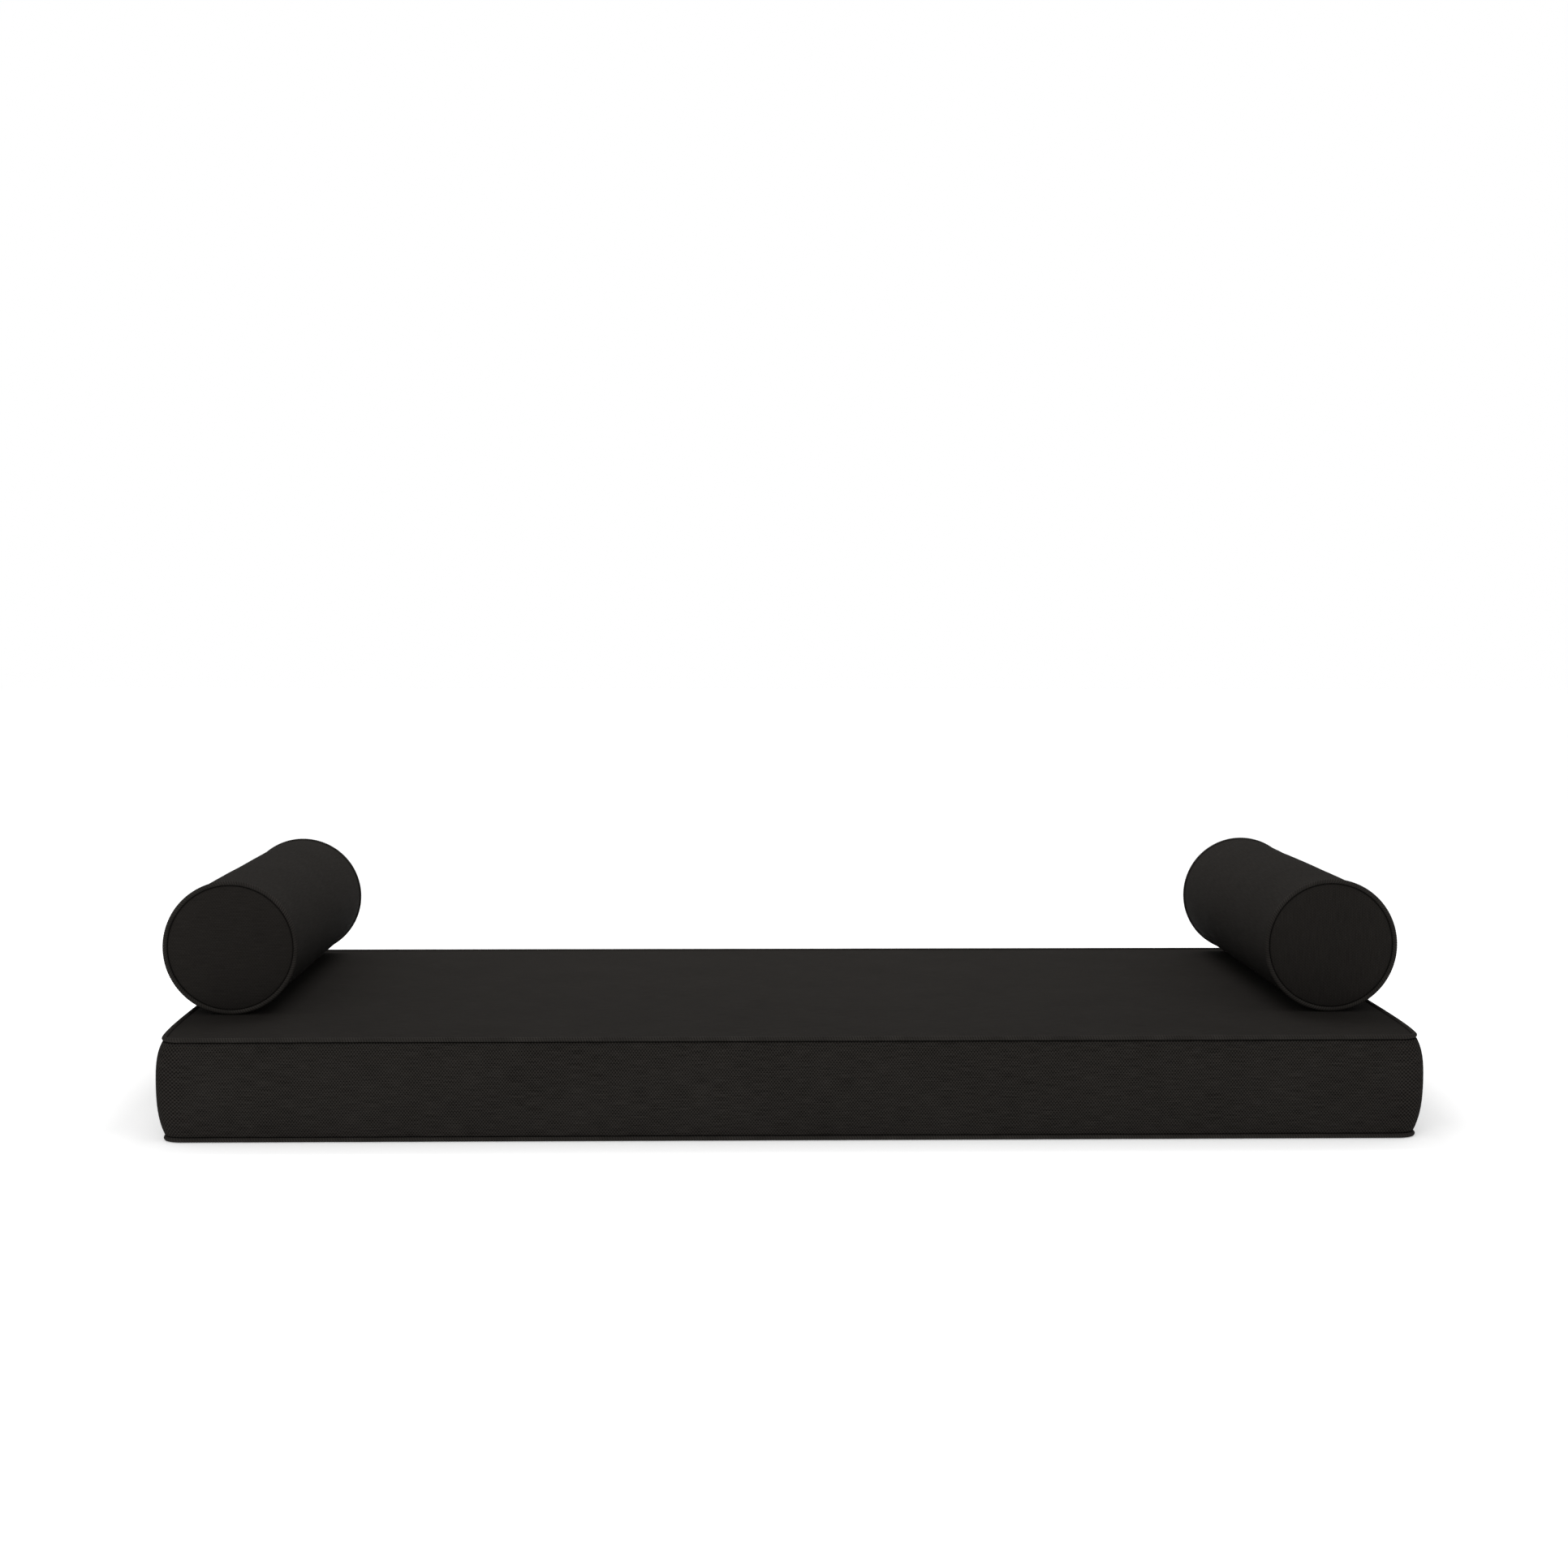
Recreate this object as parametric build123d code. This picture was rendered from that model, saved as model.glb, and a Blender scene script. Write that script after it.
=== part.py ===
from build123d import *
import math
import os

# A daybed futon mattress with two loose round bolsters lying across it, in millimetres.
# The origin is the middle of the mattress's underside. +X runs along its length, +Y goes to
# the back, where the zip is, and +Z is up.

# Mattress cover, seam line to seam line
MATTRESS_LENGTH = 1905.0
MATTRESS_DEPTH = 991.0
BOXING_HEIGHT = 152.4       # between the middles of the two welts
CORNER_RADIUS = 25.0        # of the seam line, seen from above
BOXING_BULGE = 12.0         # how far the stuffed boxing stands out past the seam line
TOP_PANEL_RISE = 1.1        # of the top panel's face above the middle of its welt
BACK_RETURN = 45.0          # the main boxing's reach round each back corner, past the bend

# Cloth and piping
COVER_CLOTH = 1.2
TICKING_CLOTH = 0.8
WELT_DIAMETER = 7.5
WELT_CORD_DIAMETER = 5.0

# Stuffing
TICKING_ROOM = 2.8          # between the boxing and the inner ticking case
TICKING_EDGE_ROOM = 0.8     # between the ticking's edge and a welt
BATTING_THICKNESS = 25.0
CORE_SIDE_ROOM = 4.0        # side batting's least thickness round the foam core

# Round bolsters
BOLSTER_DIAMETER = 212.0    # of the tube cover
BOLSTER_LENGTH = 737.0      # over the end welts
LEFT_OVERHANG = 47.5        # of the tube past the mattress's seam line
RIGHT_OVERHANG = 29.5
LEFT_BACK_SETBACK = 23.0    # from the back seam line to the bolster's back end
RIGHT_BACK_SETBACK = 19.0
BAG_EDGE_RADIUS = 8.0       # of the inner bag's rounded rim
BAG_END_ROOM = 0.4          # between the end disc and the inner bag
LIFT_CLEARANCE = 0.3        # between a resting bolster and the top panel

# Zips, the same on the mattress and on the bolsters
MATTRESS_ZIP_LENGTH = 1700.0
BOLSTER_ZIP_LENGTH = 600.0
ZIP_SLOT = 12.0             # between the folded edges of the cover
ZIP_SLIT = 1.2              # between the two tooth rows
TAPE_WIDTH = 15.0           # of one tape
TAPE_THICKNESS = 0.8
TOOTH_ROW_WIDTH = 2.4
TOOTH_ROW_HEIGHT = 2.0
STOP_LENGTH = 4.0
SLIDER_LENGTH = 10.0
SLIDER_PLATE = 1.2
SLIDER_CORNER_RADIUS = 0.8
SLIDER_CLEARANCE = 0.25
SLIDER_WEB = 0.7            # the post that runs between the two tooth rows
SLIDER_WEB_LENGTH = 2.5
BAIL_BAR_RADIUS = 0.7
BAIL_BAR_HEIGHT = 1.9       # of the bar's middle above the slider
BAIL_CHEEK = 1.2
PULL_EYE_CLEARANCE = 0.2
PULL_EYE_WALL = 0.6
PULL_EYE_WIDTH = 2.8
PULL_THICKNESS = 1.2
PULL_WIDTH = 6.0
PULL_LENGTH = 24.0          # from the bail bar to the tip
PULL_NECK = 3.2             # from the bail bar to where the pull widens

# Blank care label, sewn into the bottom welt at the back
LABEL_WIDTH = 50.0
LABEL_LENGTH = 30.0
LABEL_THICKNESS = 0.4
LABEL_FROM_SEAM = 120.0     # from the left seam line to the label's middle

# Worked out from the sizes above
WELT_RADIUS = WELT_DIAMETER / 2
BOTTOM_SEAM_Z = WELT_RADIUS
TOP_SEAM_Z = BOTTOM_SEAM_Z + BOXING_HEIGHT
MIDDLE_Z = (BOTTOM_SEAM_Z + TOP_SEAM_Z) / 2
TOP_Z = TOP_SEAM_Z + TOP_PANEL_RISE
TICKING_LOW_Z = COVER_CLOTH
TICKING_HIGH_Z = TOP_Z - COVER_CLOTH
BOXING_LOW_Z = BOTTOM_SEAM_Z + WELT_RADIUS
BOXING_HIGH_Z = TOP_SEAM_Z - WELT_RADIUS
HALF_LENGTH = MATTRESS_LENGTH / 2
HALF_DEPTH = MATTRESS_DEPTH / 2
STRAIGHT_BACK = MATTRESS_LENGTH - 2 * CORNER_RADIUS - 2 * BACK_RETURN
BOLSTER_TAPE_LENGTH = BOLSTER_ZIP_LENGTH + 2 * STOP_LENGTH
BOLSTER_RADIUS = BOLSTER_DIAMETER / 2
BOLSTER_WELT_RING = BOLSTER_RADIUS - WELT_RADIUS / 2
BOLSTER_OUTER_RADIUS = BOLSTER_WELT_RING + WELT_RADIUS
BOLSTER_AXIS_Z = TOP_Z + LIFT_CLEARANCE + BOLSTER_OUTER_RADIUS

SIDES = ("right", "back", "left", "front")


class SideCurve:
    """The arc that a bulging side follows, as its outward reach past the seam line at a height."""

    def __init__(self, middle_reach, radius):
        self.middle_reach = middle_reach
        self.radius = radius

    def reach(self, z):
        return self.middle_reach - self.radius + math.sqrt(self.radius**2 - (z - MIDDLE_Z) ** 2)

    def inside(self, distance):
        return SideCurve(self.middle_reach - distance, self.radius - distance)

    def edge(self, z_low, z_high):
        z_middle = (z_low + z_high) / 2
        points = [(self.reach(z), z) for z in (z_low, z_middle, z_high)]
        return ThreePointArc(*points)


def side_curve(middle_reach, edge_reach, z_edge):
    """The arc through edge_reach at height z_edge, its mirror below, and middle_reach between."""
    half_chord = z_edge - MIDDLE_Z
    rise = middle_reach - edge_reach
    return SideCurve(middle_reach, (half_chord**2 + rise**2) / (2 * rise))


COVER_CURVE = side_curve(BOXING_BULGE, 0.0, BOXING_HIGH_Z)
TICKING_CURVE = side_curve(
    BOXING_BULGE - COVER_CLOTH - TICKING_ROOM,
    -WELT_RADIUS - TICKING_EDGE_ROOM,
    TICKING_HIGH_Z,
)


def closed_face(*edges):
    """A face in the XZ plane inside edges drawn as (reach, height) points."""
    return Plane.XZ * make_face(edges)


def band_profile(curve, thickness, z_low, z_high):
    """A bowed strip of cloth of one thickness, seen at its end."""
    inner = curve.inside(thickness)
    outer_edge = curve.edge(z_low, z_high)
    inner_edge = inner.edge(z_low, z_high)
    top = Line(outer_edge @ 1, inner_edge @ 1)
    bottom = Line(outer_edge @ 0, inner_edge @ 0)
    return closed_face(outer_edge, top, inner_edge, bottom)


def block_profile(curve, z_low, z_high):
    """A bulging side's section, from the plan corner's centre out to the curve."""
    arc = curve.edge(z_low, z_high)
    low, high = (-CORNER_RADIUS, z_low), (-CORNER_RADIUS, z_high)
    walls = Polyline(arc @ 0, low, high, arc @ 1)
    return closed_face(arc, walls)


def side_reach_and_run(side):
    """How far a side lies from the middle, and how far it runs each way."""
    if side in ("right", "left"):
        return HALF_LENGTH, HALF_DEPTH
    return HALF_DEPTH, HALF_LENGTH


def straight_side(profile, side, start, end):
    """The profile run along one side of the mattress, between two places on it."""
    reach = side_reach_and_run(side)[0]
    strip = extrude(Pos(reach, start, 0) * profile, amount=end - start, dir=(0, 1, 0))
    return Rot(0, 0, 90 * SIDES.index(side)) * strip


def corner_after(profile, side):
    """The profile turned round the corner at the far end of a side."""
    reach, run = side_reach_and_run(side)
    turn = revolve(Pos(CORNER_RADIUS, 0, 0) * profile, Axis.Z, 90)
    centre = Pos(reach - CORNER_RADIUS, run - CORNER_RADIUS, 0)
    return Rot(0, 0, 90 * SIDES.index(side)) * (centre * turn)


def whole_side(profile, side):
    """A side's straight stretch and the corner after it."""
    run = side_reach_and_run(side)[1] - CORNER_RADIUS
    return straight_side(profile, side, -run, run) + corner_after(profile, side)


def all_round(profile):
    """The profile taken round the whole outline."""
    return sum((whole_side(profile, side) for side in SIDES[1:]), whole_side(profile, SIDES[0]))


def bulging_block(curve, z_low, z_high):
    """A solid of the mattress's outline with bulging sides."""
    middle = Pos(0, 0, z_low) * Box(
        MATTRESS_LENGTH - 2 * CORNER_RADIUS,
        MATTRESS_DEPTH - 2 * CORNER_RADIUS,
        z_high - z_low,
        align=(Align.CENTER, Align.CENTER, Align.MIN),
    )
    return all_round(block_profile(curve, z_low, z_high)) + middle


def flat_panel(inset, z_low, thickness):
    """A sheet of the mattress's outline, drawn in from the seam line."""
    outline = RectangleRounded(
        MATTRESS_LENGTH - 2 * inset, MATTRESS_DEPTH - 2 * inset, CORNER_RADIUS - inset
    )
    return extrude(Pos(0, 0, z_low) * outline, amount=thickness)


def welt_profile(radius, inner_radius, seam_z):
    """A round section on the seam line, hollow where an inner radius is given."""
    section = Circle(radius)
    if inner_radius > 0:
        section -= Circle(inner_radius)
    return Pos(0, 0, seam_z) * (Plane.XZ * section)


def mattress_cover():
    """The outer canvas: panels, boxing and the two welts with the cords in them."""
    cord_radius = WELT_CORD_DIAMETER / 2
    edge_drop = WELT_RADIUS - COVER_CLOTH
    bottom_inset = math.sqrt(WELT_RADIUS**2 - edge_drop**2)
    boxing = band_profile(COVER_CURVE, COVER_CLOTH, BOXING_LOW_Z, BOXING_HIGH_Z)
    back_run = HALF_LENGTH - CORNER_RADIUS
    main_boxing = straight_side(boxing, "back", -back_run, -back_run + BACK_RETURN)
    main_boxing += corner_after(boxing, "right") + straight_side(
        boxing, "back", back_run - BACK_RETURN, back_run
    )
    main_boxing += corner_after(boxing, "back")
    for side in ("left", "front"):
        main_boxing += whole_side(boxing, side)
    right_run = HALF_DEPTH - CORNER_RADIUS
    main_boxing += straight_side(boxing, "right", -right_run, right_run)
    slot_low, slot_high = MIDDLE_Z - ZIP_SLOT / 2, MIDDLE_Z + ZIP_SLOT / 2
    lower = band_profile(COVER_CURVE, COVER_CLOTH, BOXING_LOW_Z, slot_low)
    upper = band_profile(COVER_CURVE, COVER_CLOTH, slot_high, BOXING_HIGH_Z)
    half_back = STRAIGHT_BACK / 2
    return {
        "top_panel": flat_panel(WELT_RADIUS, TICKING_HIGH_Z, COVER_CLOTH),
        "bottom_panel": flat_panel(bottom_inset, 0.0, COVER_CLOTH),
        "main_boxing": main_boxing,
        "back_boxing_lower": straight_side(lower, "back", -half_back, half_back),
        "back_boxing_upper": straight_side(upper, "back", -half_back, half_back),
        "top_welt": all_round(welt_profile(WELT_RADIUS, cord_radius, TOP_SEAM_Z)),
        "top_welt_cord": all_round(welt_profile(cord_radius, 0, TOP_SEAM_Z)),
        "bottom_welt": all_round(welt_profile(WELT_RADIUS, cord_radius, BOTTOM_SEAM_Z)),
        "bottom_welt_cord": all_round(welt_profile(cord_radius, 0, BOTTOM_SEAM_Z)),
    }


def mattress_stuffing():
    """The inner ticking case with the foam core and its batting."""
    inner_curve = TICKING_CURVE.inside(TICKING_CLOTH)
    case_high = TICKING_HIGH_Z - TICKING_CLOTH
    fill_low = TICKING_LOW_Z + TICKING_CLOTH
    core_low = fill_low + BATTING_THICKNESS
    core_high = case_high - BATTING_THICKNESS
    case_floor = bulging_block(TICKING_CURVE, TICKING_LOW_Z, fill_low)
    case_wall = all_round(band_profile(TICKING_CURVE, TICKING_CLOTH, fill_low, case_high))
    core_inset = CORE_SIDE_ROOM - inner_curve.reach(core_high)
    core = flat_panel(core_inset, core_low, core_high - core_low)
    return {
        "ticking_case": case_floor + case_wall,
        "ticking_top": bulging_block(TICKING_CURVE, case_high, TICKING_HIGH_Z),
        "lower_batting": bulging_block(inner_curve, fill_low, core_low),
        "upper_batting": bulging_block(inner_curve, core_high, case_high),
        "side_batting": bulging_block(inner_curve, core_low, core_high) - core,
        "foam_core": core,
    }


def centred_box(length, y_low, y_high, z_low, z_high):
    """A box along X about the middle, between the given Y and Z faces."""
    box = Box(length, y_high - y_low, z_high - z_low)
    return Pos(0, (y_low + y_high) / 2, (z_low + z_high) / 2) * box


def mirrored_pair(solid):
    """A piece and its mirror image across the zip's middle line, as separate solids."""
    return {"upper": solid, "lower": mirror(solid, about=Plane.XY)}


def zip_tape(length, surface, radius):
    """The upper tape of a zip along X, bowed about an axis so that it lies under the cover."""
    outer, inner = radius - COVER_CLOTH, radius - COVER_CLOTH - TAPE_THICKNESS
    block = centred_box(length, surface - radius / 2, surface, ZIP_SLIT / 2, TAPE_WIDTH)
    axis = Pos(0, surface - radius, 0)
    tube = extrude(Plane.YZ * (Circle(outer) - Circle(inner)), amount=length / 2, both=True)
    return (axis * tube) & block


def tooth_row(length, surface):
    """The upper row of teeth, standing on its tape in the slot of the cover."""
    base = surface - COVER_CLOTH
    z_low = ZIP_SLIT / 2
    return centred_box(length, base, base + TOOTH_ROW_HEIGHT, z_low, z_low + TOOTH_ROW_WIDTH)


def end_stops(length, surface):
    """A block across both tooth rows at each end of a zip."""
    base = surface - COVER_CLOTH
    half_width = ZIP_SLIT / 2 + TOOTH_ROW_WIDTH
    block = centred_box(STOP_LENGTH, base, base + TOOTH_ROW_HEIGHT, -half_width, half_width)
    reach = (length + STOP_LENGTH) / 2
    return Pos(reach, 0, 0) * block + Pos(-reach, 0, 0) * block


def slider_top(surface):
    """The outer face of the slider's front plate."""
    return surface - COVER_CLOTH + TOOTH_ROW_HEIGHT + SLIDER_CLEARANCE + SLIDER_PLATE


def zip_slider(surface):
    """The slider about its own middle: two plates joined by a thin web, with a bail on top."""
    rows = ZIP_SLIT / 2 + TOOTH_ROW_WIDTH + SLIDER_CLEARANCE
    half_width = rows + SLIDER_PLATE
    tape_outer = surface - COVER_CLOTH
    back_top = tape_outer - TAPE_THICKNESS - SLIDER_CLEARANCE
    back_low = back_top - SLIDER_PLATE
    top = slider_top(surface)
    channel_top = top - SLIDER_PLATE
    front = centred_box(SLIDER_LENGTH, channel_top, top, -half_width, half_width)
    back = centred_box(SLIDER_LENGTH, back_low, back_top, -half_width, half_width)
    flange_low = tape_outer + SLIDER_CLEARANCE
    flange = centred_box(SLIDER_LENGTH, flange_low, channel_top, rows, half_width)
    web = centred_box(SLIDER_WEB_LENGTH, back_low, top, -SLIDER_WEB / 2, SLIDER_WEB / 2)
    web_place = Pos((SLIDER_LENGTH - SLIDER_WEB_LENGTH) / 2, 0, 0)
    body = front + back + flange + mirror(flange, about=Plane.XY) + web_place * web
    upright = body.edges().filter_by(Axis.Y)
    corners = [edge for edge in upright if abs(abs(edge.center().Z) - half_width) < 0.01]
    return fillet(corners, radius=SLIDER_CORNER_RADIUS) + bail(top)


def bail(top):
    """Two cheeks and the bar between them that the pull turns on."""
    bar_y = top + BAIL_BAR_HEIGHT
    cheek_inner = PULL_EYE_WIDTH / 2 + PULL_EYE_CLEARANCE
    cheek_outer = cheek_inner + BAIL_CHEEK
    cheek_radius = BAIL_BAR_RADIUS + PULL_EYE_WALL
    cheek = centred_box(2 * cheek_radius, top, bar_y, cheek_inner, cheek_outer)
    round_top = Pos(0, bar_y, cheek_inner) * extrude(Circle(cheek_radius), amount=BAIL_CHEEK)
    cheek += round_top
    bar = extrude(Pos(0, bar_y, 0) * Circle(BAIL_BAR_RADIUS), amount=cheek_outer, both=True)
    return cheek + mirror(cheek, about=Plane.XY) + bar


def zip_pull(surface):
    """The pull lying flat along -X, with an eye round the bail bar."""
    bar_y = slider_top(surface) + BAIL_BAR_HEIGHT
    hole = BAIL_BAR_RADIUS + PULL_EYE_CLEARANCE
    half_eye = PULL_EYE_WIDTH / 2
    eye = extrude(Circle(hole + PULL_EYE_WALL), amount=half_eye, both=True)
    tab_length = PULL_LENGTH - PULL_NECK
    tab_plan = Pos(-PULL_NECK - tab_length / 2, 0) * RectangleRounded(
        tab_length, PULL_WIDTH, PULL_WIDTH / 3
    )
    tip_hole = Pos(-PULL_LENGTH + PULL_WIDTH / 2, 0) * Circle(PULL_WIDTH / 4)
    neck_plan = Pos(-PULL_NECK / 2 - PULL_WIDTH / 4, 0) * Rectangle(
        PULL_NECK + PULL_WIDTH / 2, PULL_EYE_WIDTH
    )
    plan = tab_plan + neck_plan - tip_hole
    tab = extrude(Plane.XZ * plan, amount=PULL_THICKNESS / 2, both=True)
    bore = extrude(Circle(hole), amount=PULL_WIDTH, both=True)
    return Pos(0, bar_y, 0) * (tab + eye - bore)


def zip_set(length, tape_length, surface, radius):
    """All of one zip along X in a surface that faces +Y, with its slider at the +X end."""
    tapes = mirrored_pair(zip_tape(tape_length, surface, radius))
    rows = mirrored_pair(tooth_row(length, surface))
    closed = Pos((length - SLIDER_LENGTH) / 2 - SLIDER_CLEARANCE, 0, 0)
    return {
        "zip_tape_upper": tapes["upper"],
        "zip_tape_lower": tapes["lower"],
        "zip_teeth_upper": rows["upper"],
        "zip_teeth_lower": rows["lower"],
        "zip_end_stops": end_stops(length, surface),
        "zip_slider": closed * zip_slider(surface),
        "zip_pull": closed * zip_pull(surface),
    }


def care_label():
    """A blank cloth tab that comes out of the bottom seam at the back and lies on the boxing."""
    profile = band_profile(
        COVER_CURVE.inside(-LABEL_THICKNESS),
        LABEL_THICKNESS,
        BOXING_LOW_Z,
        BOXING_LOW_Z + LABEL_LENGTH,
    )
    middle = HALF_LENGTH - LABEL_FROM_SEAM
    return straight_side(profile, "back", middle - LABEL_WIDTH / 2, middle + LABEL_WIDTH / 2)


def bolster_disc(y_middle, radius, thickness):
    """A round sheet of cloth across a bolster."""
    return Pos(0, y_middle, 0) * extrude(
        Plane.XZ * Circle(radius), amount=thickness / 2, both=True
    )


def bag_solid(radius, half_length, edge_radius):
    """A closed cylinder along Y with rounded rims."""
    blank = extrude(Plane.XZ * Circle(radius), amount=half_length, both=True)
    return fillet(blank.edges().filter_by(GeomType.CIRCLE), radius=edge_radius)


def bolster_bag(half_length):
    """The inner bag, the disc that closes its far end, and the fill inside it."""
    radius = BOLSTER_RADIUS - COVER_CLOTH - TICKING_ROOM
    outer = bag_solid(radius, half_length, BAG_EDGE_RADIUS)
    fill = bag_solid(
        radius - TICKING_CLOTH, half_length - TICKING_CLOTH, BAG_EDGE_RADIUS - TICKING_CLOTH
    )
    end = bolster_disc(
        half_length - TICKING_CLOTH / 2, radius - BAG_EDGE_RADIUS, TICKING_CLOTH
    )
    return {"inner_bag": outer - fill - end, "inner_bag_end": end, "fibre_fill": fill}


def tube_cover(half_length):
    """The canvas tube, with the slot for its zip along its -X side."""
    tube = extrude(
        Plane.XZ * (Circle(BOLSTER_RADIUS) - Circle(BOLSTER_RADIUS - COVER_CLOTH)),
        amount=half_length,
        both=True,
    )
    slot = Pos(-BOLSTER_RADIUS, 0, 0) * Box(BOLSTER_RADIUS, BOLSTER_TAPE_LENGTH, ZIP_SLOT)
    return tube - slot


def bolster(front_end, back_end):
    """One bolster about its own middle, along Y, with its zip on the -X side and pull at +Y.

    front_end and back_end are what its -Y and +Y ends are called where it lies.
    """
    ring_y = BOLSTER_LENGTH / 2 - WELT_RADIUS
    cord_radius = WELT_CORD_DIAMETER / 2
    disc_radius = BOLSTER_WELT_RING - WELT_RADIUS
    bag_half = ring_y - COVER_CLOTH / 2 - BAG_END_ROOM
    ring = Pos(0, ring_y, 0) * Rot(90, 0, 0)
    sleeve = ring * (Torus(BOLSTER_WELT_RING, WELT_RADIUS) - Torus(BOLSTER_WELT_RING, cord_radius))
    cord = ring * Torus(BOLSTER_WELT_RING, cord_radius)
    disc = bolster_disc(ring_y, disc_radius, COVER_CLOTH)
    pieces = {
        "tube_cover": tube_cover(ring_y - WELT_RADIUS),
        f"{back_end}_disc": disc,
        f"{front_end}_disc": mirror(disc, about=Plane.XZ),
        f"{back_end}_welt": sleeve,
        f"{front_end}_welt": mirror(sleeve, about=Plane.XZ),
        "welt_cords": cord + mirror(cord, about=Plane.XZ),
    }
    pieces.update(bolster_bag(bag_half))
    zip_pieces = zip_set(
        BOLSTER_ZIP_LENGTH, BOLSTER_TAPE_LENGTH, BOLSTER_RADIUS, BOLSTER_RADIUS
    )
    for name, piece in zip_pieces.items():
        pieces[name] = Rot(0, 0, 90) * piece
    return pieces


def place_bolster(side):
    """The left or right bolster where it lies; the right one is the same, turned end for end."""
    if side == "left":
        x = -HALF_LENGTH - LEFT_OVERHANG + BOLSTER_RADIUS
        setback = LEFT_BACK_SETBACK
        pieces, turn = bolster("front", "back"), 0
    else:
        x = HALF_LENGTH + RIGHT_OVERHANG - BOLSTER_RADIUS
        setback = RIGHT_BACK_SETBACK
        pieces, turn = bolster("back", "front"), 180
    y = HALF_DEPTH - setback - BOLSTER_LENGTH / 2
    place = Pos(x, y, BOLSTER_AXIS_Z) * Rot(0, 0, turn)
    return {f"{side}_bolster_{name}": place * piece for name, piece in pieces.items()}


def mattress_zip():
    """The zip in the middle of the mattress's back."""
    place = Pos(0, HALF_DEPTH, MIDDLE_Z)
    pieces = zip_set(MATTRESS_ZIP_LENGTH, STRAIGHT_BACK, BOXING_BULGE, COVER_CURVE.radius)
    return {f"mattress_{name}": place * piece for name, piece in pieces.items()}


def all_pieces():
    """Every sub-part by its node's name."""
    pieces = {}
    pieces.update(mattress_cover())
    pieces.update(mattress_stuffing())
    pieces.update(mattress_zip())
    pieces["care_label"] = care_label()
    pieces.update(place_bolster("left"))
    pieces.update(place_bolster("right"))
    return pieces


os.makedirs("parts", exist_ok=True)
for node, piece in all_pieces().items():
    export_step(piece, f"parts/{node}.step")
print(f"slider travel: mattress {MATTRESS_ZIP_LENGTH - SLIDER_LENGTH - 2 * SLIDER_CLEARANCE:.1f}")
print(f"slider travel: bolster {BOLSTER_ZIP_LENGTH - SLIDER_LENGTH - 2 * SLIDER_CLEARANCE:.1f}")
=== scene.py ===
# %% [markdown]
# # A daybed futon mattress with two loose bolsters
# The object is a box cushion in charcoal canvas: a top and a bottom panel, a boxing strip round
# the sides, and a piped seam, called a welt, where they meet. Two round bolsters lie on it.
# This lesson dresses a finished engineering model. The model fixes every size and place, and
# the cells below give each piece its cloth, its seams and its fine shape.

# %% Load the engineering model
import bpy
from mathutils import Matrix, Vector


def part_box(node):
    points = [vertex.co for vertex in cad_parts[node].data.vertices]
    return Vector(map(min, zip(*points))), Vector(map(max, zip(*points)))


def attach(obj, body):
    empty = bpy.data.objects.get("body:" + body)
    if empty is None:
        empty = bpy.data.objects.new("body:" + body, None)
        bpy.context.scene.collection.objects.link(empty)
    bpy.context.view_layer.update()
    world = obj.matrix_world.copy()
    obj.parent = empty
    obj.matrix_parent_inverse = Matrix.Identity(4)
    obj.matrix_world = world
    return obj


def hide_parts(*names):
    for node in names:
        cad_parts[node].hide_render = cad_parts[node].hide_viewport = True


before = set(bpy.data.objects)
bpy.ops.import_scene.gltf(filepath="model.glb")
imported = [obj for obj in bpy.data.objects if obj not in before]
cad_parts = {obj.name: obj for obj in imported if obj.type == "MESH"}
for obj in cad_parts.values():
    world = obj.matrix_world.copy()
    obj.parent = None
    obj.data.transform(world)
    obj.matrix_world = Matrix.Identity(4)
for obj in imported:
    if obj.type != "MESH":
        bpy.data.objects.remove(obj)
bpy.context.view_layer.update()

# %% Libraries
import math

import bpy
import numpy as np
from mathutils import Matrix, Vector, noise

# %% [markdown]
# ## The sizes that the cloth has to follow
# A sewn cover is set out from its seam lines, so those come first. They are read from the
# model's boxes: the middle of each welt is the seam line, and everything else hangs from it.

# %% Seam lines of the mattress
top_welt_low, top_welt_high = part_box("top_welt")
bottom_welt_low, bottom_welt_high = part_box("bottom_welt")
WELT_RADIUS = (top_welt_high.z - top_welt_low.z) / 2
SEAM_X = top_welt_high.x - WELT_RADIUS
SEAM_Y = top_welt_high.y - WELT_RADIUS
TOP_SEAM = (top_welt_high.z + top_welt_low.z) / 2
BOTTOM_SEAM = (bottom_welt_high.z + bottom_welt_low.z) / 2
MIDDLE_Z = (TOP_SEAM + BOTTOM_SEAM) / 2
HALF_BOXING = (TOP_SEAM - BOTTOM_SEAM) / 2
TOP_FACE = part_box("top_panel")[1].z
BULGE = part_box("main_boxing")[1].x - SEAM_X
CORNER = 0.025              # radius of the plan's corners
CLOTH = 0.0012              # thickness of the canvas
CLOSE = 1e-5                # places nearer than this are the same place
print(f"seam line {2 * SEAM_X:.3f} x {2 * SEAM_Y:.3f} m, welt {2000 * WELT_RADIUS:.1f} mm")

# %% The zip's slot in the back
BACK_SEAM_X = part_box("back_boxing_upper")[1].x
SLOT_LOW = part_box("back_boxing_lower")[1].z
SLOT_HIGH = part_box("back_boxing_upper")[0].z
print(f"slot {1000 * (SLOT_HIGH - SLOT_LOW):.1f} mm high, {2 * BACK_SEAM_X:.3f} m long")

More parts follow.
